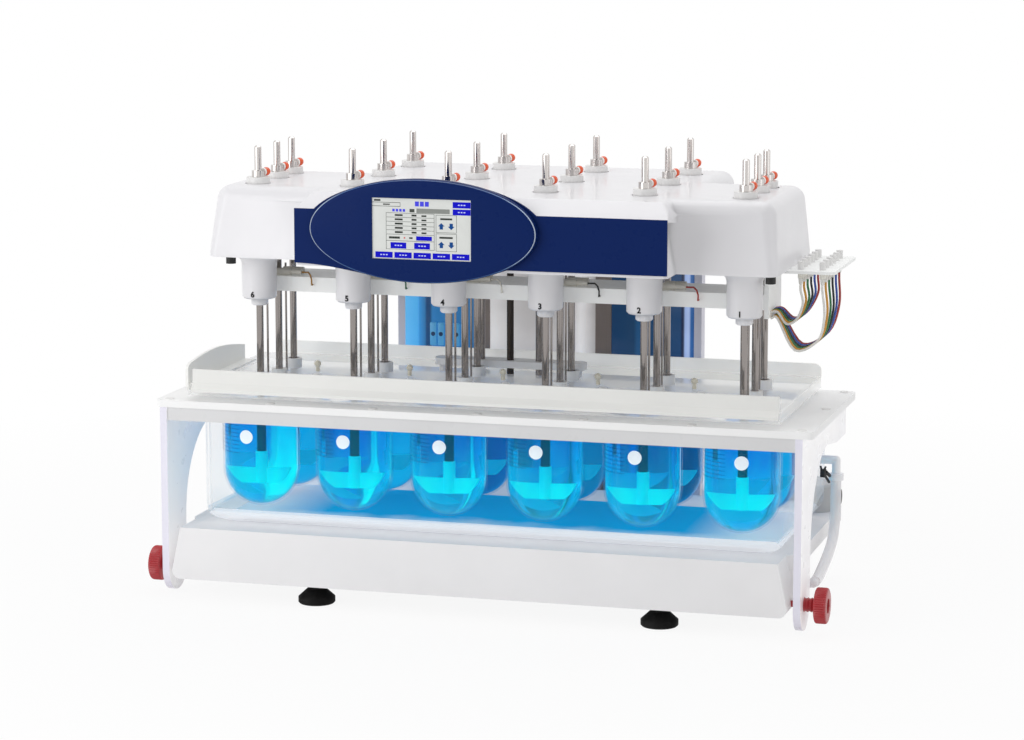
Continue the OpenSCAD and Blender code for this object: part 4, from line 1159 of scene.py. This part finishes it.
@dataclass
class Cords:
    """Bath hose and the twelve sample tubes."""

    datum: Datum
    hose_d: float = 15.0
    tube_d: float = 3.4
    hose_x: float = 456.0
    hose: Sequence[Pair] = (
        (134, 172), (134, 146), (131, 118), (114, 92), (80, 77), (20, 63), (-4, 60), (-18, 60))
    head_z: float = 481.0
    bundle_x: float = 420.0
    bundle_pitch: float = 30.0
    # Way of a tube down from its luer: X and what each bundle adds, depth and what each tube adds,
    # drop below the head and what each bundle adds
    way: Sequence[tuple[float, ...]] = (
        (0, 0, 36, 26, 20.5, 0), (0, 0, 36, 26, 29, 0), (3, 0, 38, 23, 48, 16), (-6, 0, 42, 17, 70, 28),
        (-20, -18, 42, 12, 77, 36))
    port_x: Sequence[float] = (388.0, 378.5)
    port_y: float = 40.0
    port_pitch: float = 8.0
    port_drop: Pair = (61.0, 9.0)
    per_span: int = 5

    def line(self, name: str, points: Sequence[Vector], diameter: float, finish: Finish) -> Object:
        """Makes one cord as a round curve through points.

        Args:
            name: Piece name.
            points: Points in metres.
            diameter: Diameter in millimetres.
            finish: Finish of the cord.

        Returns:
            The curve object.
        """
        curve = bpy.data.curves.new(name, "CURVE")
        curve.dimensions = "3D"
        curve.bevel_depth = diameter * MM / 2
        curve.bevel_resolution = 4
        curve.use_fill_caps = True
        spline = curve.splines.new("POLY")
        spline.points.add(len(points) - 1)
        for spot, place in zip(spline.points, points):
            spot.co = (*place, 1.0)
        curve.materials.append(finish.material())
        return in_scene(name, curve)

    def tube_route(self, column: int, k: int) -> list[Vector]:
        """Route of one sample tube from its luer to the beam's end bracket.

        Args:
            column: Bundle, 0 for the inner one.
            k: Tube in the bundle, counted from the front.

        Returns:
            Points in metres.
        """
        x = self.bundle_x + self.bundle_pitch * column
        spots = [(x + dx + dx_more * column, y + y_more * k, self.head_z - drop - drop_more * column)
                 for dx, dx_more, y, y_more, drop, drop_more in self.way]
        drop, drop_more = self.port_drop
        spots += [(port, self.port_y + self.port_pitch * k, self.head_z - drop - drop_more * column)
                  for port in self.port_x]
        return [self.datum.at(*s) for s in spots]

    def build(self) -> None:
        points = flowing([self.datum.at(self.hose_x, y, z) for y, z in self.hose], self.per_span)
        hose = self.line("bath_hose_look", points, self.hose_d, HOSE)
        settle(hose, "base", ["bath_hose"])
        tuple(points[0])
        run_length(points)
        for column in (0, 1):
            for k, finish in enumerate(TUBE_FINISHES):
                points = flowing(self.tube_route(column, k), self.per_span)
                tube = self.line(f"sample_tube_{column + 1}_{k + 1}", points, self.tube_d, finish)
                settle(tube, "head", ["sample_tubes"])
                tuple(points[0])
                run_length(points)


@dataclass
class Spindles:
    """Twelve spindles and six more rods with clamps on top of the head."""

    frame: Frame
    datum: Datum
    # Heights of the clamp's collar, radius past which a face is off the rod, start of the ball
    collar_z: Pair = (573.0, 589.0)
    rod_r: float = 5.2
    ball_out: float = 9.04
    slack: float = 0.02
    # Top of the paddle's sleeve, height below which all is paddle, radius of the rod's hidden end
    paddle_top: float = 199.0
    blade_top: float = 162.0
    core_r: float = 3.5
    grip_turn: float = 62.0
    beam_y: float = 78.0
    guide_y: float = 280.0
    guide_clamps_z: float = 500.0
    tray_guides: Sequence[Pair] = ((-73.0, 170.0), (15.0, 170.0))
    nut_out: float = 10.6
    nut_r: float = 5.2
    nut_t: float = 2.8
    nut_z: float = 595.0

    def nut(self, name: str, body: str, axes: Sequence[Pair], tree: Tree) -> None:
        """Puts the pale nuts between the clamps and their balls.

        Args:
            name: Piece name.
            body: Body that the clamps move with.
            axes: Rod axes as X and depth in millimetres.
            tree: Stud grid tree.
        """
        turn = math.radians(self.grip_turn)
        way = Vector((math.cos(turn), math.sin(turn), 0.0))
        tilt = Vector((0.0, 0.0, 1.0)).rotation_difference(way).to_matrix().to_4x4()
        parts = []
        for x, y in axes:
            place = Matrix.Translation(self.datum.at(x, y, self.nut_z) + way * self.nut_out * MM) @ tilt
            parts.append(grow(name, tree, {"Columns": 1, "Rows": 1, "Radius": self.nut_r * MM,
                                           "Depth": self.nut_t * MM, "Material": NUT_PALE.material()}, place))
        settle(join(name, parts) if len(parts) > 1 else parts[0], body)

    def rule(self, axes: Sequence[Pair]) -> PaintRule:
        """Sorts faces into rod, collar, ball and paddle.

        Args:
            axes: Rod axes as X and depth in millimetres.

        Returns:
            Rule that numbers a face.
        """
        spots = [self.datum.at(x, y, 0) for x, y in axes]
        grip = (math.cos(math.radians(self.grip_turn)), math.sin(math.radians(self.grip_turn)))

        def number(centre: Vector, _normal: Vector) -> int:
            """Tells which piece of a rod a face belongs to.

            Args:
                centre: Middle of the face in metres.
                _normal: Not used.

            Returns:
                Number of the finish.
            """
            axis = min(spots, key=lambda s: (s.x - centre.x) ** 2 + (s.y - centre.y) ** 2)
            away = math.hypot(centre.x - axis.x, centre.y - axis.y) / MM
            z = centre.z / MM
            foot, top = self.collar_z
            part = RodPart.ROD
            if z < self.paddle_top and (away > self.core_r or z < self.blade_top):
                part = RodPart.PADDLE
            elif z > foot and away > self.rod_r:
                out = ((centre.x - axis.x) * grip[0] + (centre.y - axis.y) * grip[1]) / MM
                if out > self.ball_out and z > top:
                    part = RodPart.BALL
                elif z < top - self.slack:
                    part = RodPart.COLLAR
            return part.value

        return number

    def build(self) -> None:
        """Paints every spindle and rod by its pieces."""
        finishes = (ROD_STEEL, FITTING_WHITE, BALL_RED, PADDLE)
        tree = stud_grid_tree()
        for n in range(1, COLUMNS + 1):
            x = column_x(COLUMNS - n)
            for row, y in (("front", 0.0), ("rear", PITCH)):
                paint(self.frame, f"{row}_spindle_{n}", finishes, self.rule([(x, y)]))
                self.nut(f"clamp_nut_{row}_{n}", f"{row}_spindle_{n}", [(x, y)], tree)
        beam = [(column_x(i), self.beam_y) for i in range(COLUMNS)]
        paint(self.frame, "beam_rods", finishes[:3], self.rule([*beam, *self.tray_guides]))
        guide = [(column_x(i), self.guide_y) for i in range(1, COLUMNS - 1)]
        self.nut("clamp_nuts_head", "head", [*guide, beam[0], beam[-1]], tree)
        tops = self.rule(guide)
        paint(self.frame, "guide_rods", finishes[:3],
              lambda c, n: tops(c, n) if c.z / MM > self.guide_clamps_z else RodPart.ROD.value)


@dataclass
class Vessels:
    """Glass vessels with dyed medium, a white dot and scale lines."""

    frame: Frame
    datum: Datum
    radius: float = 55.0
    wall: float = 2.5
    gap: float = 0.25
    bottom: float = 118.0
    level: float = 266.0
    # Narrowing and height of the liquid's rounded upper edge
    brim: Pair = (1.4, 1.2)
    # Angle left open at the bowl's pole, in degrees, and steps up from it
    pole: float = 2.0
    bowl_steps: int = 14
    dot_d: float = 19.5
    dot_z: float = 225.5
    dot_turns: Sequence[float] = (-3.0, 1.0, 2.0, 1.0, 1.0, 10.0)
    dot_rings: int = 4
    dot_steps: int = 28
    dot_out: float = 0.35
    dot_edge_out: float = 0.05
    scale_out: float = 0.1
    scale_z: float = 202.0
    scale_step: float = 5.6
    scale_lines: int = 10
    scale_bead: float = 0.3
    scale_start: float = 194.0
    scale_sweep: float = 62.0

    def medium(self) -> None:
        """Fills every vessel with the medium up to its level."""
        r = self.radius - self.wall - self.gap
        centre_z = self.bottom + self.radius
        angles = [math.radians(self.pole + (90 - self.pole) * i / self.bowl_steps)
                  for i in range(self.bowl_steps + 1)]
        profile = [(r * math.sin(a), centre_z - r * math.cos(a)) for a in angles]
        profile += [(r, self.level - self.brim[1]), (r - self.brim[0], self.level)]
        parts = []
        for i in range(COLUMNS):
            # The rear row takes a darker copy of the medium as painted shade.
            for y, row_medium in ((0.0, LIQUID), (PITCH, LIQUID_REAR_SHADE)):
                verts, faces = lathe(profile, (column_x(i), y, 0.0), self.datum)
                parts.append(mesh_piece("medium", verts, faces, [row_medium.material()], smooth=40))
        settle(join("medium", parts), "base")

    def dots(self) -> None:
        """Puts a white dot on the front of each front vessel."""
        verts: list[Vector] = []
        faces: list[list[int]] = []
        for i, turn in enumerate(self.dot_turns):
            faces += ring_faces(self.dot_rings + 1, self.dot_steps, len(verts))
            for ring in range(self.dot_rings + 1):
                rad = self.dot_d / 2 * ring / self.dot_rings
                out = self.radius + (self.dot_out if ring < self.dot_rings else self.dot_edge_out)
                for a in turns(self.dot_steps):
                    across = math.radians(turn) + rad * math.cos(a) / self.radius
                    verts.append(self.datum.at(column_x(i) + out * math.sin(across), -out * math.cos(across),
                                               self.dot_z + rad * math.sin(a)))
        settle(mesh_piece("vessel_dots", verts, faces, [DOT.material()], smooth=60), "base")

    def build(self) -> None:
        """Dresses the glass and adds the medium, the dots and the scale."""
        glass = soft_copy(self.frame, "vessels", GLASS, 40)
        settle(glass, "base", ["vessels"])
        self.medium()
        self.dots()
        place = Matrix.Translation(self.datum.at(column_x(0), 0.0, self.scale_z))
        marks = grow("vessel_scale", scale_marks_tree(), {
            "Radius": (self.radius + self.scale_out) * MM, "Start": math.radians(self.scale_start),
            "Sweep": math.radians(self.scale_sweep), "Lines": self.scale_lines, "Step": self.scale_step * MM,
            "Vessels": COLUMNS, "Pitch": PITCH * MM, "Bead": self.scale_bead * MM,
            "Material": SCALE_INK.material()}, place)
        settle(marks, "base")


@dataclass
class Console:
    """Navy oval with a painted highlight line on its rim and a recessed touch screen."""

    frame: Frame
    datum: Datum
    centre: Pair = (-70.0, 535.0)
    size: Pair = (322.0, 142.0)
    back: float = -115.0
    thick: float = 12.0
    steps: int = 180
    edge_r: float = 6.0
    edge_steps: int = 6
    # Rows of the rim's painted highlight line as inset and depth behind the front
    rim: Sequence[Pair] = ((1.1, 2.55), (1.05, 2.1), (2.05, 1.1), (2.3, 1.35))
    screen: Pair = (140.0, 83.0)
    screen_up: float = 3.0
    screen_y: float = -125.0
    window_gap: float = 0.05
    window_depth: float = 5.0
    layer_t: float = 0.06
    button_h: float = 0.09
    arrow: Sequence[Pair] = ((0.0, -0.055), (0.033, 0.0), (0.017, 0.0), (0.017, 0.05), (-0.017, 0.05),
                             (-0.017, 0.0), (-0.033, 0.0))

    def oval(self, inset: float, y: float) -> list[Vector]:
        """Outline of the oval.

        Args:
            inset: Distance in millimetres by which it is drawn in.
            y: Depth in millimetres.

        Returns:
            Points in metres.
        """
        a, b = self.size[0] / 2 - inset, self.size[1] / 2 - inset
        x, z = self.centre
        return [self.datum.at(x + a * math.cos(t), y, z + b * math.sin(t)) for t in turns(self.steps)]

    def shield(self) -> None:
        """Builds the oval with a round edge and an open window for the screen."""
        front = self.back - self.thick
        edge = self.edge_r
        rows = [(0.0, self.back), (0.0, front + edge)]
        rows += [(edge * (1 - math.cos(a)), front + edge * (1 - math.sin(a)))
                 for a in (math.radians(90 * k / self.edge_steps) for k in range(1, self.edge_steps + 1))]
        work = bmesh.new()
        rings = [[work.verts.new(p) for p in self.oval(d, y)] for d, y in rows]
        half_w, half_h = (side / 2 + self.window_gap for side in self.screen)
        corners = [(-half_w, -half_h), (half_w, -half_h), (half_w, half_h), (-half_w, half_h)]
        window = [[work.verts.new(self.datum.at(self.centre[0] + x, y, self.centre[1] + self.screen_up + z))
                   for x, z in corners] for y in (front, front + self.window_depth)]
        for loops in (rings, window):
            points = [p for loop in loops for p in loop]
            for face in ring_faces(len(loops), len(loops[0])):
                work.faces.new([points[i] for i in face])
        work.faces.new(window[1])
        work.faces.new(rings[0])
        edges = [work.edges.get(ends) for loop in (rings[-1], window[0])
                 for ends in zip(loop, loop[1:] + loop[:1])]
        bmesh.ops.triangle_fill(work, use_beauty=True, edges=edges)
        settle(finished("console_look", work, NAVY.material(), 35), "head", ["console"])

    def trim(self) -> None:
        """Lays the thin painted highlight line on the oval's rounded rim."""
        front = self.back - self.thick
        verts = [p for inset, y in self.rim for p in self.oval(inset, front + y)]
        faces = ring_faces(len(self.rim), self.steps)
        settle(mesh_piece("console_trim", verts, faces, [RIM_HIGHLIGHT.material()], smooth=60), "head")

    def picture(self) -> list[tuple[float, float, float, float, Ink]]:
        """Blocks of the generic screen picture.

        Returns:
            Left, top, right and bottom as shares of the screen's width and height, with the ink.
        """
        blocks = [(0.0, 0.0, 1.0, 1.0, Ink.PAPER), (0.02, 0.025, 0.085, 0.055, Ink.WORD),
                  (0.0, 0.07, 0.285, 0.078, Ink.LINE), (0.0, 0.132, 0.285, 0.14, Ink.LINE),
                  (0.283, 0.07, 0.287, 0.14, Ink.LINE), (0.11, 0.095, 0.18, 0.115, Ink.WORD),
                  (0.435, 0.045, 0.475, 0.125, Ink.TITLE), (0.485, 0.045, 0.525, 0.125, Ink.TITLE),
                  (0.535, 0.045, 0.575, 0.125, Ink.TITLE), (0.38, 0.17, 0.43, 0.225, Ink.LINE),
                  (0.45, 0.16, 0.785, 0.235, Ink.GREY), (0.815, 0.035, 0.995, 0.135, Ink.BLUE),
                  (0.815, 0.155, 0.995, 0.25, Ink.BLUE)]
        blocks += [(0.205 + 0.035 * k, 0.175, 0.23 + 0.035 * k, 0.22, Ink.TITLE) for k in range(4)]
        for k in range(6):
            v = 0.24 + 0.07 * k
            blocks.append((0.145, v, 0.63, v + 0.006, Ink.LINE))
            if k < 5:
                blocks += [(0.23, v + 0.022, 0.31, v + 0.052, Ink.WORD),
                           (0.4, v + 0.022, 0.45, v + 0.052, Ink.WORD),
                           (0.5, v + 0.028, 0.55, v + 0.055, Ink.WORD)]
        frames = ((0.14, 0.24, 0.63, 0.84), (0.645, 0.255, 0.855, 0.545), (0.645, 0.56, 0.855, 0.85))
        for u0, v0, u1, v1 in frames:
            blocks += [(u0, v1 - 0.006, u1, v1, Ink.LINE), (u0, v0, u0 + 0.004, v1, Ink.LINE),
                       (u1 - 0.004, v0, u1, v1, Ink.LINE), (u0, v0, u1, v0 + 0.006, Ink.LINE)]
        blocks += [(0.14, 0.695, 0.63, 0.702, Ink.LINE), (0.17, 0.63, 0.28, 0.665, Ink.WORD),
                   (0.32, 0.635, 0.335, 0.66, Ink.RED), (0.375, 0.635, 0.41, 0.662, Ink.WORD),
                   (0.445, 0.615, 0.605, 0.685, Ink.BLUE), (0.185, 0.725, 0.345, 0.825, Ink.BLUE),
                   (0.425, 0.725, 0.585, 0.825, Ink.BLUE), (0.69, 0.305, 0.81, 0.335, Ink.WORD),
                   (0.68, 0.61, 0.815, 0.64, Ink.WORD)]
        blocks += [(0.03 + 0.194 * k, 0.885, 0.206 + 0.194 * k, 0.982, Ink.BLUE) for k in range(5)]
        wide = [b for b in blocks if b[4] is Ink.BLUE and b[3] - b[1] > self.button_h]
        blocks += [((b[0] + b[2]) / 2 + 0.028 * k - 0.009, (b[1] + b[3]) / 2 - 0.009,
                    (b[0] + b[2]) / 2 + 0.028 * k + 0.009, (b[1] + b[3]) / 2 + 0.009, Ink.LABEL)
                   for b in wide for k in (-1, 0, 1)]
        return blocks

    def face(self) -> None:
        """Draws the screen picture as thin lit blocks and arrows."""
        inks = list(Ink)
        verts: list[Vector] = []
        faces: list[list[int]] = []
        marks: list[int] = []
        left = self.centre[0] - self.screen[0] / 2
        top = self.centre[1] + self.screen_up + self.screen[1] / 2

        def shape(points: Sequence[Pair], ink: Ink, layer: int) -> None:
            """Adds one flat shape to the picture.

            Args:
                points: Corners as shares of the screen's width and height.
                ink: Ink of the shape.
                layer: Layer, counted from the paper.
            """
            base = len(verts)
            y = self.screen_y - self.layer_t * (layer + 1)
            verts.extend(self.datum.at(left + u * self.screen[0], y, top - v * self.screen[1]) for u, v in points)
            faces.append(list(range(base, base + len(points))))
            marks.append(inks.index(ink))

        for u0, v0, u1, v1, ink in self.picture():
            layer = {Ink.PAPER: 0, Ink.LABEL: 2}.get(ink, 1)
            shape([(u0, v1), (u1, v1), (u1, v0), (u0, v0)], ink, layer)
        for v in (0.44, 0.745):
            for u, way in ((0.70, 1), (0.80, -1)):
                shape([(u + du, v + way * dv) for du, dv in self.arrow], Ink.ARROW, 2)
        mesh = bpy.data.meshes.new("screen_face")
        mesh.from_pydata([tuple(v) for v in verts], [], faces)
        for ink in inks:
            mesh.materials.append(INKS[ink].material())
        mesh.polygons.foreach_set("material_index", marks)
        work = bmesh.new()
        work.from_mesh(mesh)
        for f in work.faces:
            f.normal_update()
            if f.normal.y > 0:
                f.normal_flip()
        work.to_mesh(mesh)
        work.free()
        settle(in_scene("screen_face", mesh), "head")

    def build(self) -> None:
        """Dresses the apron, the oval and the screen."""
        dress(self.frame, NAVY, "front_apron")
        dress(self.frame, BEZEL, "touch_screen")
        self.shield()
        self.trim()
        self.face()


@dataclass
class Head:
    """Moulded cover, hubs with numbers and what hangs under the head."""

    frame: Frame
    datum: Datum
    hub_r: float = 25.0
    digit_h: float = 8.0
    digit_z: float = 424.5
    digit_turn: float = -3.5
    # Height of a figure as a share of the type's size, and what is added to its strokes
    figure_share: float = 0.72
    bold: float = 0.035
    ink_out: float = 0.15
    # Heights between which a luer's nylon middle lies
    luer_z: Pair = (469.0, 478.0)

    def digit(self, number: int) -> Object:
        """Makes one hub number, bent round its hub.

        Args:
            number: Number of the column, counted from the right.

        Returns:
            Mesh object in place.
        """
        curve = bpy.data.curves.new(f"hub_number_{number}", "FONT")
        curve.body = str(number)
        curve.size = self.digit_h * MM / self.figure_share
        curve.align_x = "CENTER"
        curve.offset = self.bold * curve.size
        curve.resolution_u = 4
        text = in_scene(curve.name, curve)
        mesh = baked(text)
        bpy.data.objects.remove(text)
        x = column_x(COLUMNS - number)
        foot = self.digit_z - self.digit_h / 2
        r = self.hub_r + self.ink_out
        for v in mesh.vertices:
            a = v.co.x / (self.hub_r * MM) + math.radians(self.digit_turn)
            v.co = self.datum.at(x + r * math.sin(a), -r * math.cos(a), foot + v.co.y / MM)
        mesh.materials.clear()
        mesh.materials.append(DIGIT_INK.material())
        return in_scene(f"hub_number_{number}", mesh)

    def build(self) -> None:
        """Dresses the head and numbers the hubs."""
        cover = soft_copy(self.frame, "head_cover", SHELL, 40)
        settle(cover, "head", ["head_cover"])
        hubs = soft_copy(self.frame, "spindle_hubs", SHELL, 30)
        settle(hubs, "head", ["spindle_hubs"])
        settle(join("hub_numbers", [self.digit(n) for n in range(1, COLUMNS + 1)]), "head")
        dress(self.frame, SATIN_ALU, "head_floor", "lift_tube")
        dress(self.frame, ROD_STEEL, "spindle_bearings", "sample_probes")
        dress(self.frame, BLACK, "drive_motor", "thumb_knob_left", "thumb_knob_right")
        dress(self.frame, RUBBER, "drive_belt")
        dress(self.frame, DARK_STEEL, "motor_pulley")
        dress(self.frame, BEAM_GREY, "probe_beam", "manifold_plate")
        dress(self.frame, NATURAL, "lead_connectors")
        paint(self.frame, "luer_fittings", (FITTING_WHITE, NATURAL, TUBE_FINISHES[0]),
              lambda c, _n: int(c.z / MM <= self.luer_z[1]) + int(c.z / MM < self.luer_z[0]))
        edges = [column_x(i) * MM for i in range(1, COLUMNS - 1)]
        paint(self.frame, "beam_leads", LEAD_FINISHES, lambda c, _n: sum(c.x > e for e in edges))


@dataclass
class CoverTray:
    """Clear tray with its rails, fittings and lifting screw."""

    frame: Frame
    datum: Datum
    screw: Pair = (-29.0, 170.0)
    screw_r: float = 5.0
    low: float = 296.0
    high: float = 424.0
    pitch: float = 4.0
    bead: float = 0.7
    sunk: float = 0.4
    wheel_z: Pair = (425.5, 435.5)
    plug_x: float = -24.0
    plug_half: float = 9.0

    def build(self) -> None:
        """Dresses the tray and cuts the thread of its screw."""
        dress(self.frame, TRAY_CLEAR, "cover_tray")
        # The rear rail's faces take a copy with a painted glow.
        paint(self.frame, "tray_rails", (RAIL_WHITE, REAR_WHITE), lambda c, _n: int(c.y > 0.0))
        dress(self.frame, GUARD_WHITE, "tray_side_guard")
        dress(self.frame, FITTING_WHITE, "tray_bracket")
        half = PITCH / 2
        paint(self.frame, "tray_fittings", (FITTING_WHITE, CREAM),
              lambda c, _n: int(abs((c.x / MM - self.plug_x + half) % PITCH - half) < self.plug_half))
        paint(self.frame, "cover_screw", (DARK_STEEL, BLACK), lambda c, _n: int(
            abs(c.x / MM - self.screw[0]) > self.screw_r or self.wheel_z[0] < c.z / MM < self.wheel_z[1]))
        height = self.high - self.low
        place = Matrix.Translation(self.datum.at(self.screw[0], self.screw[1], self.low))
        thread = grow("cover_screw_thread", thread_tree(), {
            "Radius": (self.screw_r - self.sunk) * MM, "Turns": height / self.pitch, "Height": height * MM,
            "Bead": self.bead * MM, "Material": DARK_STEEL.material()}, place)
        settle(thread, "cover_screw")


@dataclass
class Stand:
    """Base, bath, plate, side panels and the water fittings."""

    frame: Frame
    datum: Datum
    floor_top: float = 125.0
    outlet_z: float = 90.0
    spout_x: float = 435.5
    # Bars of the clip by their ends and half widths
    clip_bars: Sequence[tuple[Point, Point, float]] = (
        ((443.0, 104.0, 181.0), (443.0, 104.0, 192.0), 4.0), ((440.5, 103.0, 192.0), (439.5, 102.0, 196.5), 1.3),
        ((445.0, 104.0, 192.0), (446.5, 104.0, 196.0), 1.3), ((444.5, 107.0, 183.5), (449.5, 117.0, 171.0), 1.6),
        ((446.5, 106.0, 188.0), (449.5, 119.0, 180.0), 2.2))

    def clip(self) -> None:
        """Black ratchet clip on the hose clamp: a block with prongs and a slanted tail."""
        parts = []
        for a, b, half in self.clip_bars:
            verts, faces = strut(self.datum.at(*a), self.datum.at(*b), half * MM)
            parts.append(mesh_piece("hose_clip", verts, faces, [BLACK.material()]))
        settle(join("hose_clip", parts), "base")

    def build(self) -> None:
        """Dresses everything that stays on the bench."""
        dress(self.frame, BASE_WHITE, "base_case")
        dress(self.frame, SHEET_STEEL, "base_floor")
        feet = soft_copy(self.frame, "levelling_feet", RUBBER, 25)
        settle(feet, "base", ["levelling_feet"])
        tub = soft_copy(self.frame, "bath_tub", ACRYLIC, 40)
        # The tub's floor faces get the painted pool of blue light.
        tub.data.materials.append(BATH_FLOOR.material())
        # The tub's lower sides get the milky slab finish with a painted glow.
        tub.data.materials.append(SLAB_EDGE.material())
        tub.data.polygons.foreach_set("material_index", [
            0 if p.center.z / MM >= self.floor_top else 1 if p.normal.z > 0.9 else 2 for p in tub.data.polygons])
        settle(tub, "base", ["bath_tub"])
        for name in ("side_panel_left", "side_panel_right"):
            paint(self.frame, name, (FROSTED, FROST_EDGE), lambda _c, n: int(abs(n.x) < 0.7))
        # The plate's front edge faces take their copy with its own painted glow.
        paint(self.frame, "vessel_plate", (PLATE_WHITE, PLATE_EDGE), lambda _c, n: int(n.y < -0.5))
        dress(self.frame, FASCIA, "fascia_strip")
        dress(self.frame, FITTING_WHITE, "plate_screws")
        paint(self.frame, "hose_fittings", (ELBOW_WHITE, HOSE), lambda c, _n: int(c.z / MM < self.outlet_z))
        paint(self.frame, "circulator", (GREY_CASE, BLACK), lambda c, _n: int(c.x / MM > self.spout_x))
        self.clip()


@dataclass
class LockKnobs:
    """Red lock knobs: finely fluted rim, ribbed hub and a recessed face."""

    datum: Datum
    axis: Pair = (-80.0, 42.0)
    radius: float = 24.5
    thick: float = 17.0
    hub_r: float = 10.0
    stud_r: float = 4.5
    recess: float = 5.0
    hub_from: Pair = (461.2, 453.2)
    flutes: int = 44
    flute_depth: float = 1.3
    flute_steps: int = 6
    ribs: int = 3
    rib_depth: float = 1.4

    def rows(self, side: Side, inner: float, outer: float) -> list[tuple[float, float, float]]:
        """Profile along the knob's axis.

        Args:
            side: End of the instrument.
            inner: Distance of the stud's end from the middle.
            outer: Distance of the knob's face from the middle.

        Returns:
            Rows of distance from the middle, radius and share of the flutes' depth.
        """
        face = outer - self.thick
        hub = self.hub_from[0 if side is Side.LEFT else 1]
        spans = 2 * self.ribs
        ribs = [(hub + (face - hub) * k / spans, self.hub_r - self.rib_depth * (k % 2), 0.0)
                for k in range(spans + 1)]
        r = self.radius
        return [(inner, self.stud_r, 0.0), (hub, self.stud_r, 0.0), *ribs,
                (face, r - 2.6, 0.3), (face + 0.7, r - 0.9, 0.7), (face + 2.0, r, 1.0), (outer - 3.0, r, 1.0),
                (outer - 1.2, r - 0.7, 0.8), (outer - 0.3, r - 2.0, 0.4), (outer, r - 3.4, 0.0),
                (outer, self.hub_r + 0.6, 0.0), (outer - 0.6, self.hub_r, 0.0),
                (outer - self.recess, self.hub_r - 0.6, 0.0)]

    def build(self) -> None:
        """Makes both knobs in place of their nodes."""
        steps = self.flutes * self.flute_steps
        for side in Side:
            name = f"lock_knob_{side.name.lower()}"
            low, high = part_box(name)
            spans = sorted((abs(low.x) / MM, abs(high.x) / MM))
            rows = self.rows(side, *spans)
            verts: list[Vector] = []
            for x, r, share in rows:
                for a in turns(steps):
                    out = r - share * self.flute_depth * (0.5 + 0.5 * math.cos(self.flutes * a))
                    verts.append(self.datum.at(side.value * x, self.axis[0] + out * math.cos(a),
                                               self.axis[1] + out * math.sin(a)))
            faces = ring_faces(len(rows), steps, capped=True)
            knob = mesh_piece(f"{name}_look", verts, faces, [KNOB_RED.material()], smooth=32)
            settle(knob, name, [name])


@dataclass
class Tower:
    """Column, strips and blue cabinets behind the bath."""

    frame: Frame
    datum: Datum
    post_x: float = 220.0
    face_y: float = 270.0
    block_x: Pair = (-180.0, -122.0)
    block_z: Pair = (316.0, 350.0)
    bars: int = 5
    slot: float = 1.8
    block_t: float = 6.0
    block_gap: float = 0.05
    edge_r: float = 0.9
    port_r: float = 3.2
    port_t: float = 0.6
    port_out: float = 0.2

    def bar_pitch(self) -> float:
        """Spacing of the block's bars in millimetres."""
        return (self.block_x[1] - self.block_x[0] + self.slot) / self.bars

    def block(self) -> None:
        """Slotted pale block on the left cabinet: round-edged bars side by side."""
        work = bmesh.new()
        for i in range(self.bars):
            x0 = self.block_x[0] + i * self.bar_pitch()
            x1 = x0 + self.bar_pitch() - self.slot
            made = bmesh.ops.create_cube(work, size=1.0)
            size = Vector(((x1 - x0) * MM, self.block_t * MM, (self.block_z[1] - self.block_z[0]) * MM))
            middle = self.datum.at((x0 + x1) / 2, self.face_y - self.block_t / 2 - self.block_gap,
                                   sum(self.block_z) / 2)
            for v in made["verts"]:
                v.co = Vector((v.co.x * size.x, v.co.y * size.y, v.co.z * size.z)) + middle
        bmesh.ops.bevel(work, geom=list(work.edges), offset=self.edge_r * MM, segments=2, affect="EDGES",
                        profile=0.5)
        settle(finished("cabinet_block", work, BLOCK_BLUE.material(), 40), "base")

    def build(self) -> None:
        """Dresses the tower and adds the slotted block with its ports, dark discs of painted shade."""
        dress(self.frame, COLUMN, "lift_column")
        paint(self.frame, "column_trim", (STRIP_STEEL, POST_WHITE),
              lambda c, _n: int(abs(c.x) / MM > self.post_x))
        dress(self.frame, DARK_STEEL, "lift_screw")
        dress(self.frame, BLACK, "lift_motor")
        dress(self.frame, CABINET, "rear_cabinets")
        self.block()
        turn = Matrix.Rotation(math.radians(90), 4, "X")
        place = Matrix.Translation(self.datum.at(sum(self.block_x) / 2, self.face_y - self.block_t - self.port_out,
                                                 sum(self.block_z) / 2)) @ turn
        # The ports are thin dark discs on the block's face: painted shade in place of holes.
        ports = grow("cabinet_ports", stud_grid_tree(), {
            "Columns": self.bars, "Rows": 1, "Width": self.bar_pitch() * (self.bars - 1) * MM, "Height": 0.0,
            "Radius": self.port_r * MM, "Depth": self.port_t * MM, "Material": PORT_SHADE.material()}, place)
        settle(ports, "base")


def main() -> None:
    """Builds the studio and every sub-assembly in order."""
    logging.basicConfig(level=logging.INFO, format="%(name)s: %(message)s")
    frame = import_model()
    low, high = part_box("spindle_hubs")
    datum = Datum((low.y + high.y) / 2)
    Studio(datum).build()
    Cords(datum).build()
    Head(frame, datum).build()
    Console(frame, datum).build()
    Spindles(frame, datum).build()
    Vessels(frame, datum).build()
    CoverTray(frame, datum).build()
    Stand(frame, datum).build()
    LockKnobs(datum).build()
    Tower(frame, datum).build()


if __name__ == "__main__":
    main()
